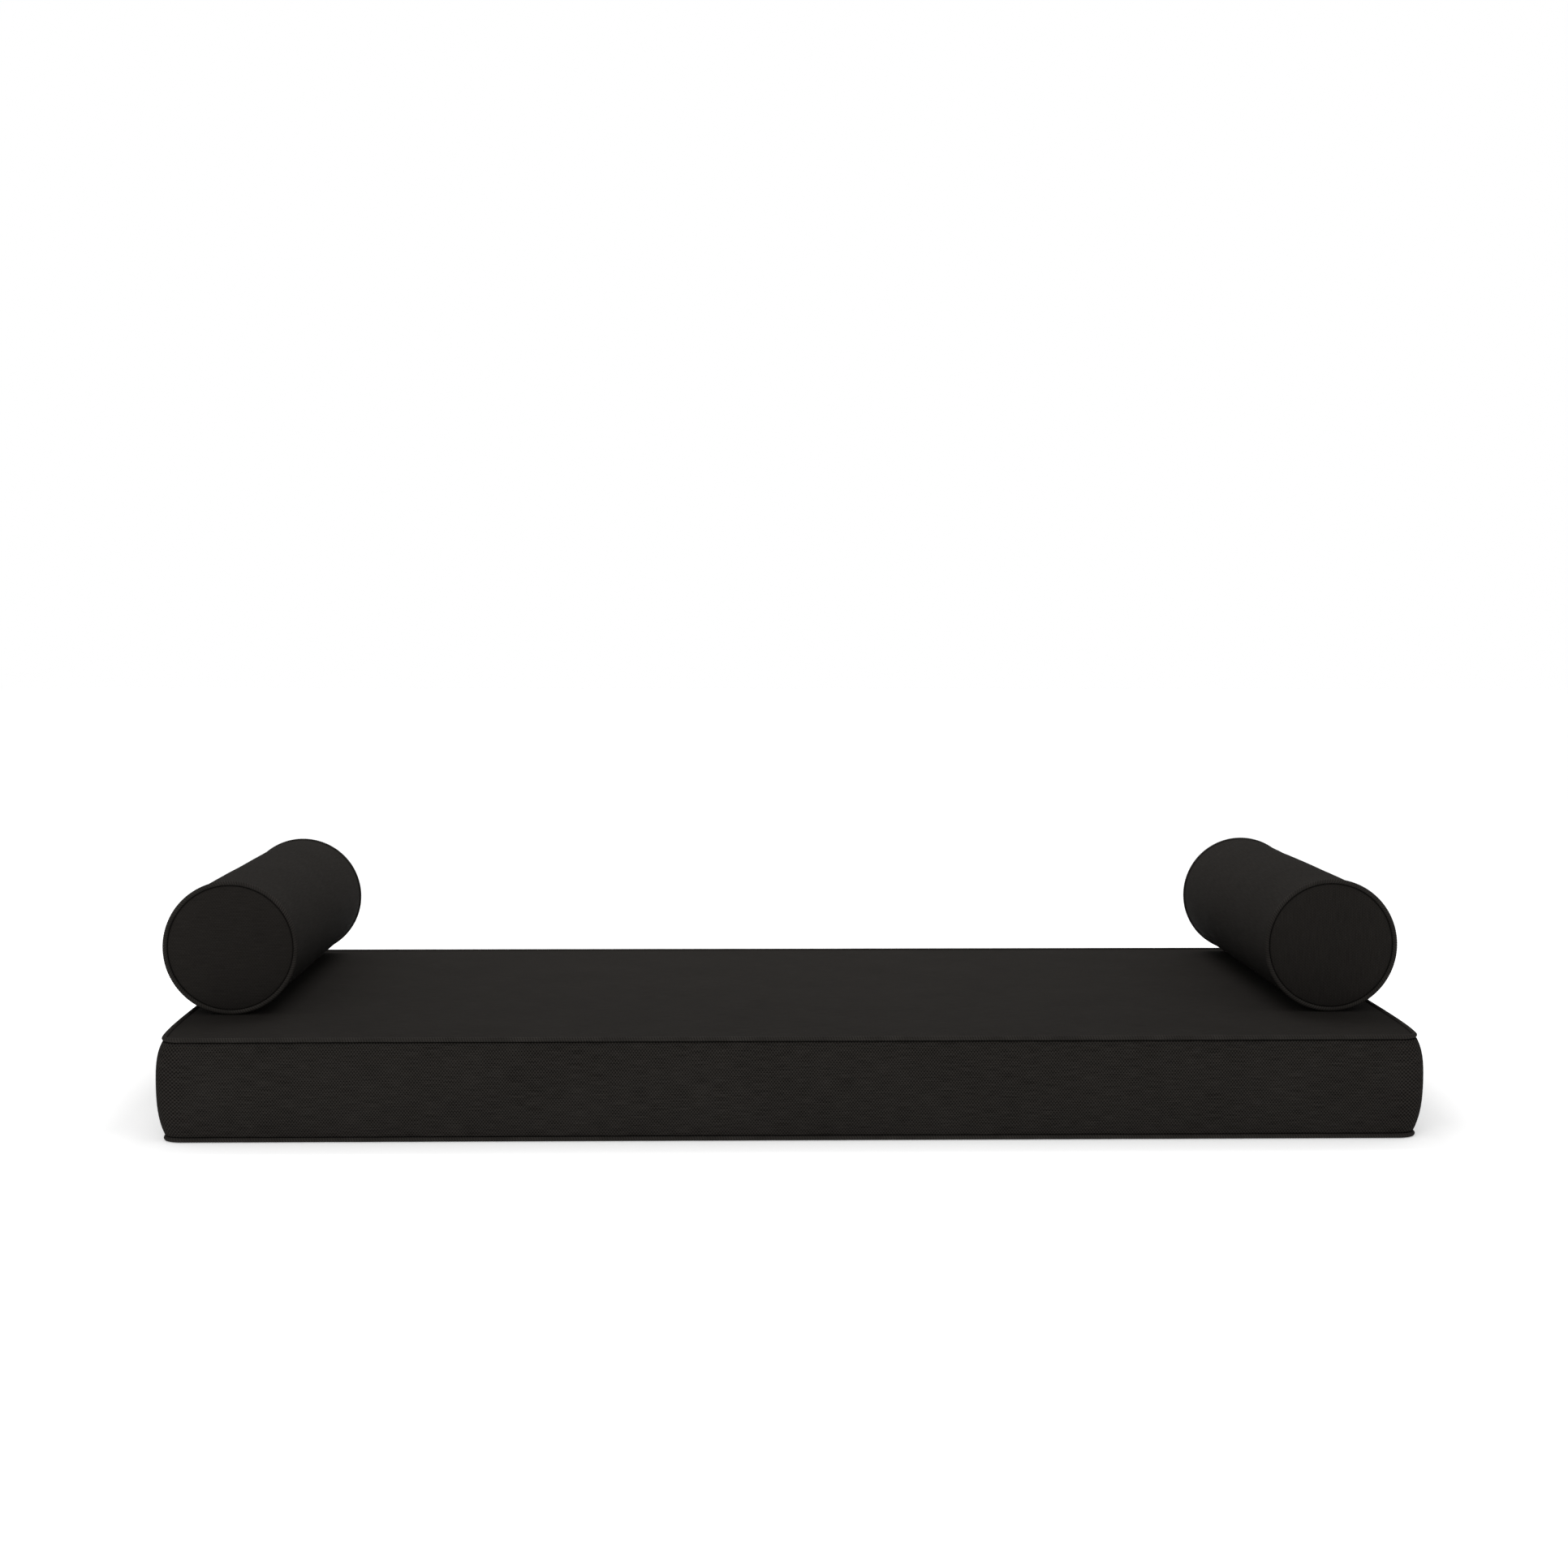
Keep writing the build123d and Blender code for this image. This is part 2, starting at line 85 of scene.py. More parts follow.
# %% Seam lines of a bolster
tube_low, tube_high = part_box("left_bolster_tube_cover")
ring_low, ring_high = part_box("left_bolster_front_welt")
bolster_place = {
    side: sum(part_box(f"{side}_bolster_tube_cover"), Vector()) / 2 for side in ("left", "right")
}
TUBE_RADIUS = (tube_high.z - tube_low.z) / 2
RING_RADIUS = (ring_high.z - ring_low.z) / 2 - WELT_RADIUS
RING_Y = bolster_place["left"].y - (ring_low.y + ring_high.y) / 2
print(f"bolster ring radius {1000 * RING_RADIUS:.1f} mm at {1000 * RING_Y:.1f} mm from its middle")

# %% [markdown]
# ## Small helpers
# Operators act on whatever is selected, so every step starts by selecting one object and
# nothing else. Points are moved as one array, which is quicker than one at a time.

# %% Selecting and applying
def pick(obj):
    """Makes one object selected and active, and nothing else."""
    bpy.ops.object.select_all(action="DESELECT")
    obj.select_set(True)
    bpy.context.view_layer.objects.active = obj


def apply_modifier(obj, kind, **settings):
    """Adds one modifier to an object and applies it at once."""
    pick(obj)
    modifier = obj.modifiers.new(kind.title(), kind)
    for name, value in settings.items():
        setattr(modifier, name, value)
    bpy.ops.object.modifier_apply(modifier=modifier.name)


def points_of(obj):
    """The places of an object's vertices, one row each."""
    flat = np.zeros(len(obj.data.vertices) * 3)
    obj.data.vertices.foreach_get("co", flat)
    return flat.reshape(-1, 3)


def move_points(obj, places):
    """Puts an object's vertices at new places."""
    obj.data.vertices.foreach_set("co", np.asarray(places, float).ravel())
    obj.data.update()


def named(name):
    """Names the object that the last operator made, and its mesh."""
    obj = bpy.context.object
    obj.name = name
    obj.data.name = name
    return obj


def smooth(obj, degrees=50.0):
    """Smooth shading, with edges sharper than an angle kept crisp."""
    pick(obj)
    bpy.ops.object.shade_smooth_by_angle(angle=math.radians(degrees))


# %% Steps that ease from 0 to 1
def ease(value, low, high):
    """0 below low, 1 above high, and a smooth climb between."""
    t = np.clip((np.asarray(value, float) - low) / (high - low), 0, 1)
    return t * t * (3 - 2 * t)


def soft_noise(places, size, seed):
    """Smooth noise from -1 to 1 at each place, with features of a given size in metres."""
    shift = Vector((seed * 17.3, seed * 5.1, seed * 9.7))
    size = Vector(size) if hasattr(size, "__len__") else Vector((size, size, size))
    return np.array([
        noise.noise(Vector((p[0] / size.x, p[1] / size.y, p[2] / size.z)) + shift) for p in places
    ])


# %% [markdown]
# ## Camera, light and floor
# The object is seen from a standing person's height, a little left of its middle, with a short
# telephoto lens. The background looks white, but it lights the object as a room would: dimly
# from the walls and more from the ceiling. A soft box overhead brightens the top, and a larger,
# more distant one lights the front.

# %% Camera
CAMERA_PLACE = Vector((-0.1140, -4.3505, 0.8167))
CAMERA_LENS = 58.87
YAW, PITCH, ROLL = -0.0256, 0.0706, -0.0014
forward = Vector((
    -math.cos(PITCH) * math.sin(YAW), math.cos(PITCH) * math.cos(YAW), -math.sin(PITCH)
))
level = Vector((math.cos(YAW), math.sin(YAW), 0))
upward = level.cross(forward)
right = math.cos(ROLL) * level - math.sin(ROLL) * upward
upward = math.sin(ROLL) * level + math.cos(ROLL) * upward
bpy.ops.object.camera_add(location=CAMERA_PLACE)
camera = named("camera")
camera.data.lens = CAMERA_LENS
camera.data.sensor_width = 36.0
camera.rotation_euler = Matrix((right, upward, -forward)).transposed().to_euler()
bpy.context.scene.camera = camera
print("camera at", [round(v, 3) for v in camera.location])

# %% Soft studio light
WALL_LIGHT = 0.35
CEILING_LIGHT = 1.12
CEILING_FROM = 0.8          # how steep a ray must be to meet the ceiling: 0 is level, 1 upright
world = bpy.data.worlds.new("white_room")
world.use_nodes = True
room = world.node_tree
seen = room.nodes["Background"]
seen.inputs["Color"].default_value = (1.0, 1.0, 1.0, 1.0)
lighting = room.nodes.new("ShaderNodeBackground")
heading = room.nodes.new("ShaderNodeSeparateXYZ")
climb = room.nodes.new("ShaderNodeMapRange")
climb.inputs["From Max"].default_value = CEILING_FROM
climb.inputs["To Min"].default_value = WALL_LIGHT
climb.inputs["To Max"].default_value = CEILING_LIGHT
ray = room.nodes.new("ShaderNodeLightPath")
either = room.nodes.new("ShaderNodeMixShader")
room.links.new(room.nodes.new("ShaderNodeTexCoord").outputs["Generated"], heading.inputs[0])
room.links.new(heading.outputs["Z"], climb.inputs["Value"])
room.links.new(climb.outputs["Result"], lighting.inputs["Strength"])
room.links.new(ray.outputs["Is Camera Ray"], either.inputs[0])
room.links.new(lighting.outputs[0], either.inputs[1])
room.links.new(seen.outputs[0], either.inputs[2])
room.links.new(either.outputs[0], room.nodes["World Output"].inputs["Surface"])
bpy.context.scene.world = world
bpy.context.scene.view_settings.view_transform = "Standard"


def soft_box(name, place, target, size, power):
    """A square area light that faces a target."""
    bpy.ops.object.light_add(type="AREA", location=place)
    light = named(name)
    light.data.shape = "SQUARE"
    light.data.size = size
    light.data.energy = power
    light.rotation_euler = (Vector(target) - Vector(place)).to_track_quat("-Z", "Y").to_euler()
    return light


# Each box's place and target, its side in metres and its power in watts.
soft_box("overhead_light", (0.0, 1.1, 2.3), (0.0, 0.35, 0.15), 1.2, 31.0)
soft_box("front_light", (-0.8, -3.8, 1.6), (0.0, 0.0, 0.1), 2.0, 42.0)

# %% [markdown]
# ## How the materials are built
# Every effect that more than one material uses is a node group with named inputs and outputs.
# A group gives out only heights and masks. The shader that uses them stays in the material.

# %% Node helpers
def new_group(name, inputs, outputs):
    """An empty shader node group with float or vector sockets, and its two end nodes."""
    group = bpy.data.node_groups.new(name, "ShaderNodeTree")
    for label, kind, value in inputs:
        socket = group.interface.new_socket(name=label, in_out="INPUT", socket_type=kind)
        if value is not None:
            socket.default_value = value
    for label in outputs:
        group.interface.new_socket(name=label, in_out="OUTPUT", socket_type="NodeSocketFloat")
    return group, group.nodes.new("NodeGroupInput"), group.nodes.new("NodeGroupOutput")


def node(tree, kind, inputs=None, **settings):
    """A node with its settings made and its inputs set to numbers or joined to sockets."""
    made = tree.nodes.new(kind)
    for name, value in settings.items():
        setattr(made, name, value)
    for name, value in (inputs or {}).items():
        if isinstance(value, bpy.types.NodeSocket):
            tree.links.new(value, made.inputs[name])
        else:
            made.inputs[name].default_value = value
    return made


def calc(tree, operation, *values):
    """The result of one Math node on two or three numbers or sockets."""
    return node(tree, "ShaderNodeMath", dict(enumerate(values)), operation=operation).outputs[0]


def to_range(tree, value, low, high, new_low, new_high):
    """A value stretched from one range to another, and held inside it."""
    return node(tree, "ShaderNodeMapRange", {
        "Value": value, "From Min": low, "From Max": high, "To Min": new_low, "To Max": new_high,
    }).outputs["Result"]


def noise_at(tree, place, scale, detail=2.0, roughness=0.5):
    """A noise texture's value at a place."""
    return node(tree, "ShaderNodeTexNoise", {
        "Vector": place, "Scale": scale, "Detail": detail, "Roughness": roughness,
    }).outputs["Fac"]


def stretched(tree, place, scale):
    """A place scaled by a different amount on each axis."""
    return node(
        tree, "ShaderNodeVectorMath", {0: place, 1: scale}, operation="MULTIPLY"
    ).outputs["Vector"]


# %% [markdown]
# ### Woven cloth
# Canvas is a weave of thick yarns, over and under, so its face is a field of small raised dots
# in offset rows. Real yarn is uneven: some lengths are thicker, which shows as short streaks
# along the weft. The group makes both from a place on the cloth in metres.

# %% The weave group
def make_weave_group():
    """Dots of a plain weave, slubs along the weft, and the hairy grain of the yarn."""
    group, start, end = new_group(
        "woven_cloth",
        [
            ("Place", "NodeSocketVector", None),
            ("Yarn Pitch", "NodeSocketFloat", 0.0045),
            ("Row Pitch", "NodeSocketFloat", 0.0029),
            ("Waver", "NodeSocketFloat", 0.0007),
        ],
        ["Height", "Slub", "Grain"],
    )
    place = start.outputs["Place"]
    drift = calc(group, "SUBTRACT", noise_at(group, place, 38.0), 0.5)
    drift = calc(group, "MULTIPLY", drift, start.outputs["Waver"])
    parts = node(group, "ShaderNodeSeparateXYZ", {"Vector": place})
    along = calc(group, "ADD", parts.outputs["X"], drift)
    across = calc(group, "ADD", parts.outputs["Y"], drift)
    turns = calc(group, "DIVIDE", along, start.outputs["Yarn Pitch"])
    rows = calc(group, "DIVIDE", across, start.outputs["Row Pitch"])
    warp = calc(group, "COSINE", calc(group, "MULTIPLY", turns, 2 * math.pi))
    weft = calc(group, "COSINE", calc(group, "MULTIPLY", rows, math.pi))
    dots = calc(group, "MULTIPLY", warp, weft)
    height = calc(group, "MULTIPLY_ADD", dots, 0.5, 0.5)
    streak = noise_at(group, stretched(group, place, (32.0, 700.0, 1.0)), 1.0, 3.0, 0.65)
    grain = noise_at(group, place, 1400.0, 2.0, 0.7)
    group.links.new(height, end.inputs["Height"])
    group.links.new(to_range(group, streak, 0.34, 0.70, -0.5, 0.7), end.inputs["Slub"])
    group.links.new(grain, end.inputs["Grain"])
    return group


weave_group = make_weave_group()
print("weave outputs:", [s.name for s in weave_group.interface.items_tree if s.in_out == "OUTPUT"])

# %% [markdown]
# ### Handling and dust
# Dark cloth is never one tone. It is brushed lighter where hands smooth it, it holds a little
# lint, and the dye takes unevenly over a hand's width. One group gives these to every cloth.

# %% The wear group
def make_wear_group():
    """Slow changes of tone, and small pale specks of lint."""
    group, start, end = new_group(
        "cloth_wear",
        [("Place", "NodeSocketVector", None), ("Patch Scale", "NodeSocketFloat", 7.0)],
        ["Tone", "Lint"],
    )
    place = start.outputs["Place"]
    broad = noise_at(group, place, start.outputs["Patch Scale"], 3.0, 0.55)
    speck = noise_at(group, place, 420.0, 1.0, 0.4)
    group.links.new(to_range(group, broad, 0.3, 0.7, 0.0, 1.0), end.inputs["Tone"])
    group.links.new(to_range(group, speck, 0.73, 0.80, 0.0, 1.0), end.inputs["Lint"])
    return group


wear_group = make_wear_group()


# %% Starting and ending a material
def new_material(name):
    """A node material with its shader, and nothing else joined."""
    material = bpy.data.materials.new(name)
    material.use_nodes = True
    tree = material.node_tree
    return material, tree, tree.nodes["Principled BSDF"]


def set_plain(shader, **values):
    """Numbers that are the same all over, set on the shader's own sockets."""
    for name, value in values.items():
        shader.inputs[name.replace("_", " ")].default_value = value


def dress(tree, shader, colour, rough, height, relief):
    """Joins a material's colour and roughness to its shader, and its fine relief."""
    tree.links.new(colour, shader.inputs["Base Color"])
    tree.links.new(rough, shader.inputs["Roughness"])
    add_bump(tree, shader, height, relief)


def grouped(tree, group, **inputs):
    """A copy of a shared group in a material, with its own values."""
    made = tree.nodes.new("ShaderNodeGroup")
    made.node_tree = group
    for name, value in inputs.items():
        label = name.replace("_", " ")
        if isinstance(value, bpy.types.NodeSocket):
            tree.links.new(value, made.inputs[label])
        else:
            made.inputs[label].default_value = value
    return made


def blend_colours(tree, factor, first, second, how="MIX"):
    """A Mix node between two colours, each a tuple or a socket."""
    made = node(tree, "ShaderNodeMix", data_type="RGBA", blend_type=how)
    for socket, value in ((made.inputs[0], factor), (made.inputs[6], first), (made.inputs[7], second)):
        if isinstance(value, bpy.types.NodeSocket):
            tree.links.new(value, socket)
        elif isinstance(value, tuple):
            socket.default_value = (*value, 1.0)
        else:
            socket.default_value = value
    return made.outputs[2]


def add_bump(tree, shader, height, distance, strength=1.0):
    """Fine relief from a height, on the shader's normal."""
    bump = node(tree, "ShaderNodeBump", {
        "Height": height, "Distance": distance, "Strength": strength,
    })
    tree.links.new(bump.outputs["Normal"], shader.inputs["Normal"])


# %% [markdown]
# ### The charcoal canvas
# The cover is a heavy cotton canvas, dyed near black with a warm cast. It has almost no shine
# face on, and a faint one at a glancing angle. Beside each seam its colour is darkened towards
# black, a painted shade for the crease that little light reaches. The weave's dots are painted
# too: darker between the yarns, a painted shade in their hollows, and lighter on their tops. The
# same recipe serves all four kinds of piece, which differ in how strongly the weave and its
# painted shade show and in where their seams lie, so it is one function.

# %% Canvas materials
# The darker colour below is painted shade in the hollows between the yarns, and in the troughs of a
# welt's ribs; FACE is the lighter tops of the yarns.
HOLLOW_SHADE = (0.0026, 0.0023, 0.0020)         # between the yarns
FACE = (0.0272, 0.0246, 0.0222)         # on top of them
LINT = (0.16, 0.15, 0.14)
# Painted shade beside the seams: how dark the canvas is painted in the crease by a welt, and over what
# distance from the seam line.
SEAM_SHADE = 0.12                       # what is left of the colour right beside a welt
SHADE_LOW = 1.05 * WELT_RADIUS          # from the seam line: nearer than this it is all shade
SHADE_HIGH = 1.65 * WELT_RADIUS         # and further than this there is none


def seam_shade(tree, distance):
    """1 on open cloth, and less in the crease beside a seam: a painted shade on the colour."""
    return to_range(tree, distance, SHADE_LOW, SHADE_HIGH, SEAM_SHADE, 1.0)


def panel_distance(tree, parts):
    """The distance from the seam round a panel of the mattress."""
    across = calc(tree, "SUBTRACT", SEAM_X, calc(tree, "ABSOLUTE", parts.outputs["X"]))
    along = calc(tree, "SUBTRACT", SEAM_Y, calc(tree, "ABSOLUTE", parts.outputs["Y"]))
    return calc(tree, "MINIMUM", across, along)


def boxing_distance(tree, parts):
    """The distance from the nearer of the boxing's two seams."""
    above = calc(tree, "SUBTRACT", parts.outputs["Y"], BOTTOM_SEAM)
    below = calc(tree, "SUBTRACT", TOP_SEAM, parts.outputs["Y"])
    return calc(tree, "MINIMUM", above, below)


def tube_distance(tree, parts):
    """The distance along a bolster from the nearer of its two seams."""
    return calc(tree, "SUBTRACT", RING_Y, calc(tree, "ABSOLUTE", parts.outputs["X"]))


def disc_distance(tree, parts):
    """The distance of a place on a bolster's end from the seam round it."""
    x_squared = calc(tree, "MULTIPLY", parts.outputs["X"], parts.outputs["X"])
    y_squared = calc(tree, "MULTIPLY", parts.outputs["Y"], parts.outputs["Y"])
    radius = calc(tree, "SQRT", calc(tree, "ADD", x_squared, y_squared))
    return calc(tree, "SUBTRACT", RING_RADIUS, radius)


def canvas_material(name, relief, contrast, unevenness, distance_from_seam):
    """Charcoal canvas that reads the piece's own cloth map, in metres."""
    material, tree, shader = new_material(name)
    place = node(tree, "ShaderNodeUVMap", uv_map="cloth").outputs["UV"]
    weave = grouped(tree, weave_group, Place=place)
    wear = grouped(tree, wear_group, Place=place)
    # The weave's dots: painted shade between the yarns and lighter tops. The yarn's own slubs, grain
    # and patchy tone are added below.
    lit = calc(tree, "MULTIPLY_ADD", weave.outputs["Height"], contrast, 0.5 - contrast / 2)
    lit = calc(tree, "MULTIPLY_ADD", weave.outputs["Slub"], 0.30 * unevenness, lit)
    grain = calc(tree, "SUBTRACT", weave.outputs["Grain"], 0.5)
    lit = calc(tree, "MULTIPLY_ADD", grain, 0.5 * unevenness, lit)
    patchy = calc(tree, "SUBTRACT", wear.outputs["Tone"], 0.5)
    lit = calc(tree, "MULTIPLY_ADD", patchy, 0.09 * unevenness, lit)
    colour = blend_colours(tree, lit, HOLLOW_SHADE, FACE)
    lint = calc(tree, "MULTIPLY", wear.outputs["Lint"], 0.10)
    colour = blend_colours(tree, lint, colour, LINT)
    parts = node(tree, "ShaderNodeSeparateXYZ", {"Vector": place})
    # Painted shade: the colour is blended towards black in the crease beside each seam.
    shade = seam_shade(tree, distance_from_seam(tree, parts))
    colour = blend_colours(tree, shade, (0.0, 0.0, 0.0), colour)
    rough = to_range(tree, lit, 0.0, 1.0, 0.97, 0.86)
    height = calc(tree, "MULTIPLY_ADD", weave.outputs["Slub"], 0.35, weave.outputs["Height"])
    height = calc(tree, "MULTIPLY_ADD", grain, 0.6, height)
    dress(tree, shader, colour, rough, height, relief)
    set_plain(shader, Specular_IOR_Level=0.02)
    return material


# For each piece: relief in metres, contrast of the weave's dots and their painted shade, unevenness of
# the yarn, its seams.
canvas_top = canvas_material("canvas_top_panel", 0.00008, 0.16, 0.7, panel_distance)
canvas_boxing = canvas_material("canvas_boxing", 0.00022, 1.0, 1.3, boxing_distance)
canvas_tube = canvas_material("canvas_bolster_tube", 0.00010, 0.20, 0.7, tube_distance)
canvas_disc = canvas_material("canvas_bolster_disc", 0.00010, 0.16, 0.6, disc_distance)
print("canvas materials:", [m.name for m in (canvas_top, canvas_boxing, canvas_tube, canvas_disc)])


# %% [markdown]
# ### The welts' cloth
# A welt is a strip of the same canvas cut on the bias and sewn tight round a cord. The needle
# gathers it, so it shows small ribs across its length, about 4 mm apart, some plain and some
# nearly lost. The ribs are painted lighter on their crests with painted shade in their troughs,
# and the whole welt is painted lighter than the canvas, a painted light on the round bead.

# %% Welt material
def welt_material(name, rib_pitch):
    """Bias-cut canvas with gathered ribs, on a map of length and girth in metres."""
    material, tree, shader = new_material(name)
    place = node(tree, "ShaderNodeUVMap", uv_map="cloth").outputs["UV"]
    parts = node(tree, "ShaderNodeSeparateXYZ", {"Vector": place})
    lean = calc(tree, "MULTIPLY_ADD", parts.outputs["Y"], 0.35, parts.outputs["X"])
    phase = calc(tree, "MULTIPLY", lean, 2 * math.pi / rib_pitch)
    rib = calc(tree, "MULTIPLY_ADD", calc(tree, "COSINE", phase), 0.5, 0.5)
    patch = noise_at(tree, stretched(tree, place, (22.0, 1.0, 1.0)), 1.0, 2.0)
    rib = calc(tree, "MULTIPLY", rib, to_range(tree, patch, 0.38, 0.62, 0.5, 1.0))
    wear = grouped(tree, wear_group, Place=place, Patch_Scale=16.0)
    # Painted light and shade: rib crests lighter and troughs shaded, and the welt's colour painted
    # lighter than the canvas it is cut from. The wear tone is the cloth's own.
    lit = calc(tree, "MULTIPLY_ADD", rib, 0.45, 0.28)
    lit = calc(tree, "MULTIPLY_ADD", wear.outputs["Tone"], 0.15, lit)
    colour = blend_colours(tree, lit, HOLLOW_SHADE, (0.0360, 0.0328, 0.0298))
    rough = to_range(tree, lit, 0.0, 1.0, 0.96, 0.80)
    dress(tree, shader, colour, rough, rib, 0.0003)
    set_plain(shader, Specular_IOR_Level=0.03)
    return material


RIB_PITCH = 0.004
welt_cloth = welt_material("welt_canvas", RIB_PITCH)

# %% [markdown]
# ### Cotton, ticking, foam and batting
# These lie inside the cover. Someone who takes the cover off sees them, so each one is made as
# what it is: a twisted cord, a striped cotton case, cut foam with open cells, and soft fibre.

# %% Materials of the inside
def cord_material():
    """White cotton cord with its twist."""
    material, tree, shader = new_material("twisted_cotton")
    place = node(tree, "ShaderNodeTexCoord").outputs["Object"]
    parts = node(tree, "ShaderNodeSeparateXYZ", {"Vector": place})
    along = calc(tree, "ADD", parts.outputs["X"], parts.outputs["Y"])
    slope = calc(tree, "MULTIPLY_ADD", parts.outputs["Z"], 1.6, along)
    twist = calc(tree, "SINE", calc(tree, "MULTIPLY", slope, 2 * math.pi / 0.005))
    strand = calc(tree, "MULTIPLY_ADD", twist, 0.5, 0.5)
    fuzz = noise_at(tree, place, 900.0, 2.0)
    lit = calc(tree, "MULTIPLY_ADD", fuzz, 0.3, calc(tree, "MULTIPLY", strand, 0.7))
    colour = blend_colours(tree, lit, (0.46, 0.42, 0.34), (0.78, 0.74, 0.66))
    rough = to_range(tree, lit, 0.0, 1.0, 0.95, 0.85)
    dress(tree, shader, colour, rough, strand, 0.0004)
    return material


def ticking_material():
    """Cream cotton with narrow woven stripes in pairs."""
    material, tree, shader = new_material("ticking_cotton")
    place = node(tree, "ShaderNodeTexCoord").outputs["Object"]
    parts = node(tree, "ShaderNodeSeparateXYZ", {"Vector": place})
    weave = grouped(tree, weave_group, Place=place, Yarn_Pitch=0.0012, Row_Pitch=0.0006, Waver=0.0002)
    wear = grouped(tree, wear_group, Place=place, Patch_Scale=9.0)
    wave = calc(tree, "SINE", calc(tree, "MULTIPLY", parts.outputs["X"], 2 * math.pi / 0.02))
    stripe = to_range(tree, wave, 0.72, 0.80, 0.0, 1.0)
    core = to_range(tree, wave, 0.93, 0.97, 0.0, 1.0)
    stripe = calc(tree, "SUBTRACT", stripe, calc(tree, "MULTIPLY", core, 0.8))
    cotton = blend_colours(tree, weave.outputs["Height"], (0.58, 0.54, 0.46), (0.74, 0.70, 0.62))
    worn = calc(tree, "MULTIPLY", wear.outputs["Tone"], 0.2)
    cotton = blend_colours(tree, worn, cotton, (0.50, 0.46, 0.38))
    colour = blend_colours(tree, stripe, cotton, (0.10, 0.11, 0.14))
    rough = to_range(tree, weave.outputs["Grain"], 0.2, 0.8, 0.95, 0.8)
    dress(tree, shader, colour, rough, weave.outputs["Height"], 0.00006)
    return material


def foam_material():
    """Cut foam: pale yellow, with small open cells."""
    material, tree, shader = new_material("open_cell_foam")
    place = node(tree, "ShaderNodeTexCoord").outputs["Object"]
    cells = node(tree, "ShaderNodeTexVoronoi", {"Vector": place, "Scale": 520.0}).outputs["Distance"]
    broad = noise_at(tree, place, 6.0, 3.0)
    pits = to_range(tree, cells, 0.15, 0.6, 0.0, 1.0)
    colour = blend_colours(tree, pits, (0.50, 0.42, 0.24), (0.80, 0.72, 0.50))
    colour = blend_colours(tree, to_range(tree, broad, 0.4, 0.7, 0.0, 0.35), colour, (0.66, 0.52, 0.30))
    rough = to_range(tree, pits, 0.0, 1.0, 1.0, 0.85)
    dress(tree, shader, colour, rough, pits, 0.0008)
    return material


def fibre_material():
    """White polyester batting: layered, hairy and slightly see-through in tone."""
    material, tree, shader = new_material("polyester_fibre")
    place = node(tree, "ShaderNodeTexCoord").outputs["Object"]
    strands = noise_at(tree, stretched(tree, place, (90.0, 260.0, 700.0)), 1.0, 5.0, 0.7)
    tufts = noise_at(tree, place, 45.0, 4.0, 0.6)
    lit = calc(tree, "MULTIPLY_ADD", strands, 0.6, calc(tree, "MULTIPLY", tufts, 0.4))
    lit = to_range(tree, lit, 0.35, 0.65, 0.0, 1.0)
    colour = blend_colours(tree, lit, (0.58, 0.58, 0.56), (0.88, 0.88, 0.86))
    rough = to_range(tree, lit, 0.0, 1.0, 1.0, 0.8)
    dress(tree, shader, colour, rough, lit, 0.0015)
    set_plain(shader, Sheen_Weight=0.3, Sheen_Roughness=0.5)
    return material


cotton_cord = cord_material()
ticking = ticking_material()
foam = foam_material()
batting = fibre_material()
print("inner materials:", [m.name for m in (cotton_cord, ticking, foam, batting)])

# %% [markdown]
# ### Zip and label
# The zip tape is a tight herringbone band, the coil teeth are dyed nylon, and the slider and
# pull are black enamel chipped to grey metal in a few small places. The label is white ribbon, blank.

# %% Materials of the zip and the label
def tape_material():
    """Black herringbone tape."""
    material, tree, shader = new_material("herringbone_tape")
    place = node(tree, "ShaderNodeTexCoord").outputs["Object"]
    parts = node(tree, "ShaderNodeSeparateXYZ", {"Vector": place})
    along = calc(tree, "ADD", parts.outputs["X"], parts.outputs["Y"])
    zigzag = calc(tree, "PINGPONG", parts.outputs["Z"], 0.002)
    slope = calc(tree, "ADD", along, zigzag)
    rib = calc(tree, "SINE", calc(tree, "MULTIPLY", slope, 2 * math.pi / 0.0009))
    rib = calc(tree, "MULTIPLY_ADD", rib, 0.5, 0.5)
    wear = grouped(tree, wear_group, Place=place, Patch_Scale=22.0)
    lit = calc(tree, "MULTIPLY_ADD", wear.outputs["Tone"], 0.3, calc(tree, "MULTIPLY", rib, 0.7))
    colour = blend_colours(tree, lit, (0.006, 0.006, 0.006), (0.022, 0.021, 0.020))
    rough = to_range(tree, rib, 0.0, 1.0, 0.9, 0.7)
    dress(tree, shader, colour, rough, rib, 0.00012)
    set_plain(shader, Specular_IOR_Level=0.25)
    return material


def coil_material():
    """Dyed nylon teeth, glossier in some places than in others."""
    material, tree, shader = new_material("nylon_teeth")
    place = node(tree, "ShaderNodeTexCoord").outputs["Object"]
    broad = noise_at(tree, place, 60.0, 3.0)
    fine = noise_at(tree, place, 2400.0, 2.0)
    lit = calc(tree, "MULTIPLY_ADD", fine, 0.4, calc(tree, "MULTIPLY", broad, 0.6))
    colour = blend_colours(tree, lit, (0.010, 0.010, 0.010), (0.034, 0.033, 0.031))
    rough = to_range(tree, broad, 0.3, 0.7, 0.35, 0.6)
    dress(tree, shader, colour, rough, fine, 0.00003)
    return material


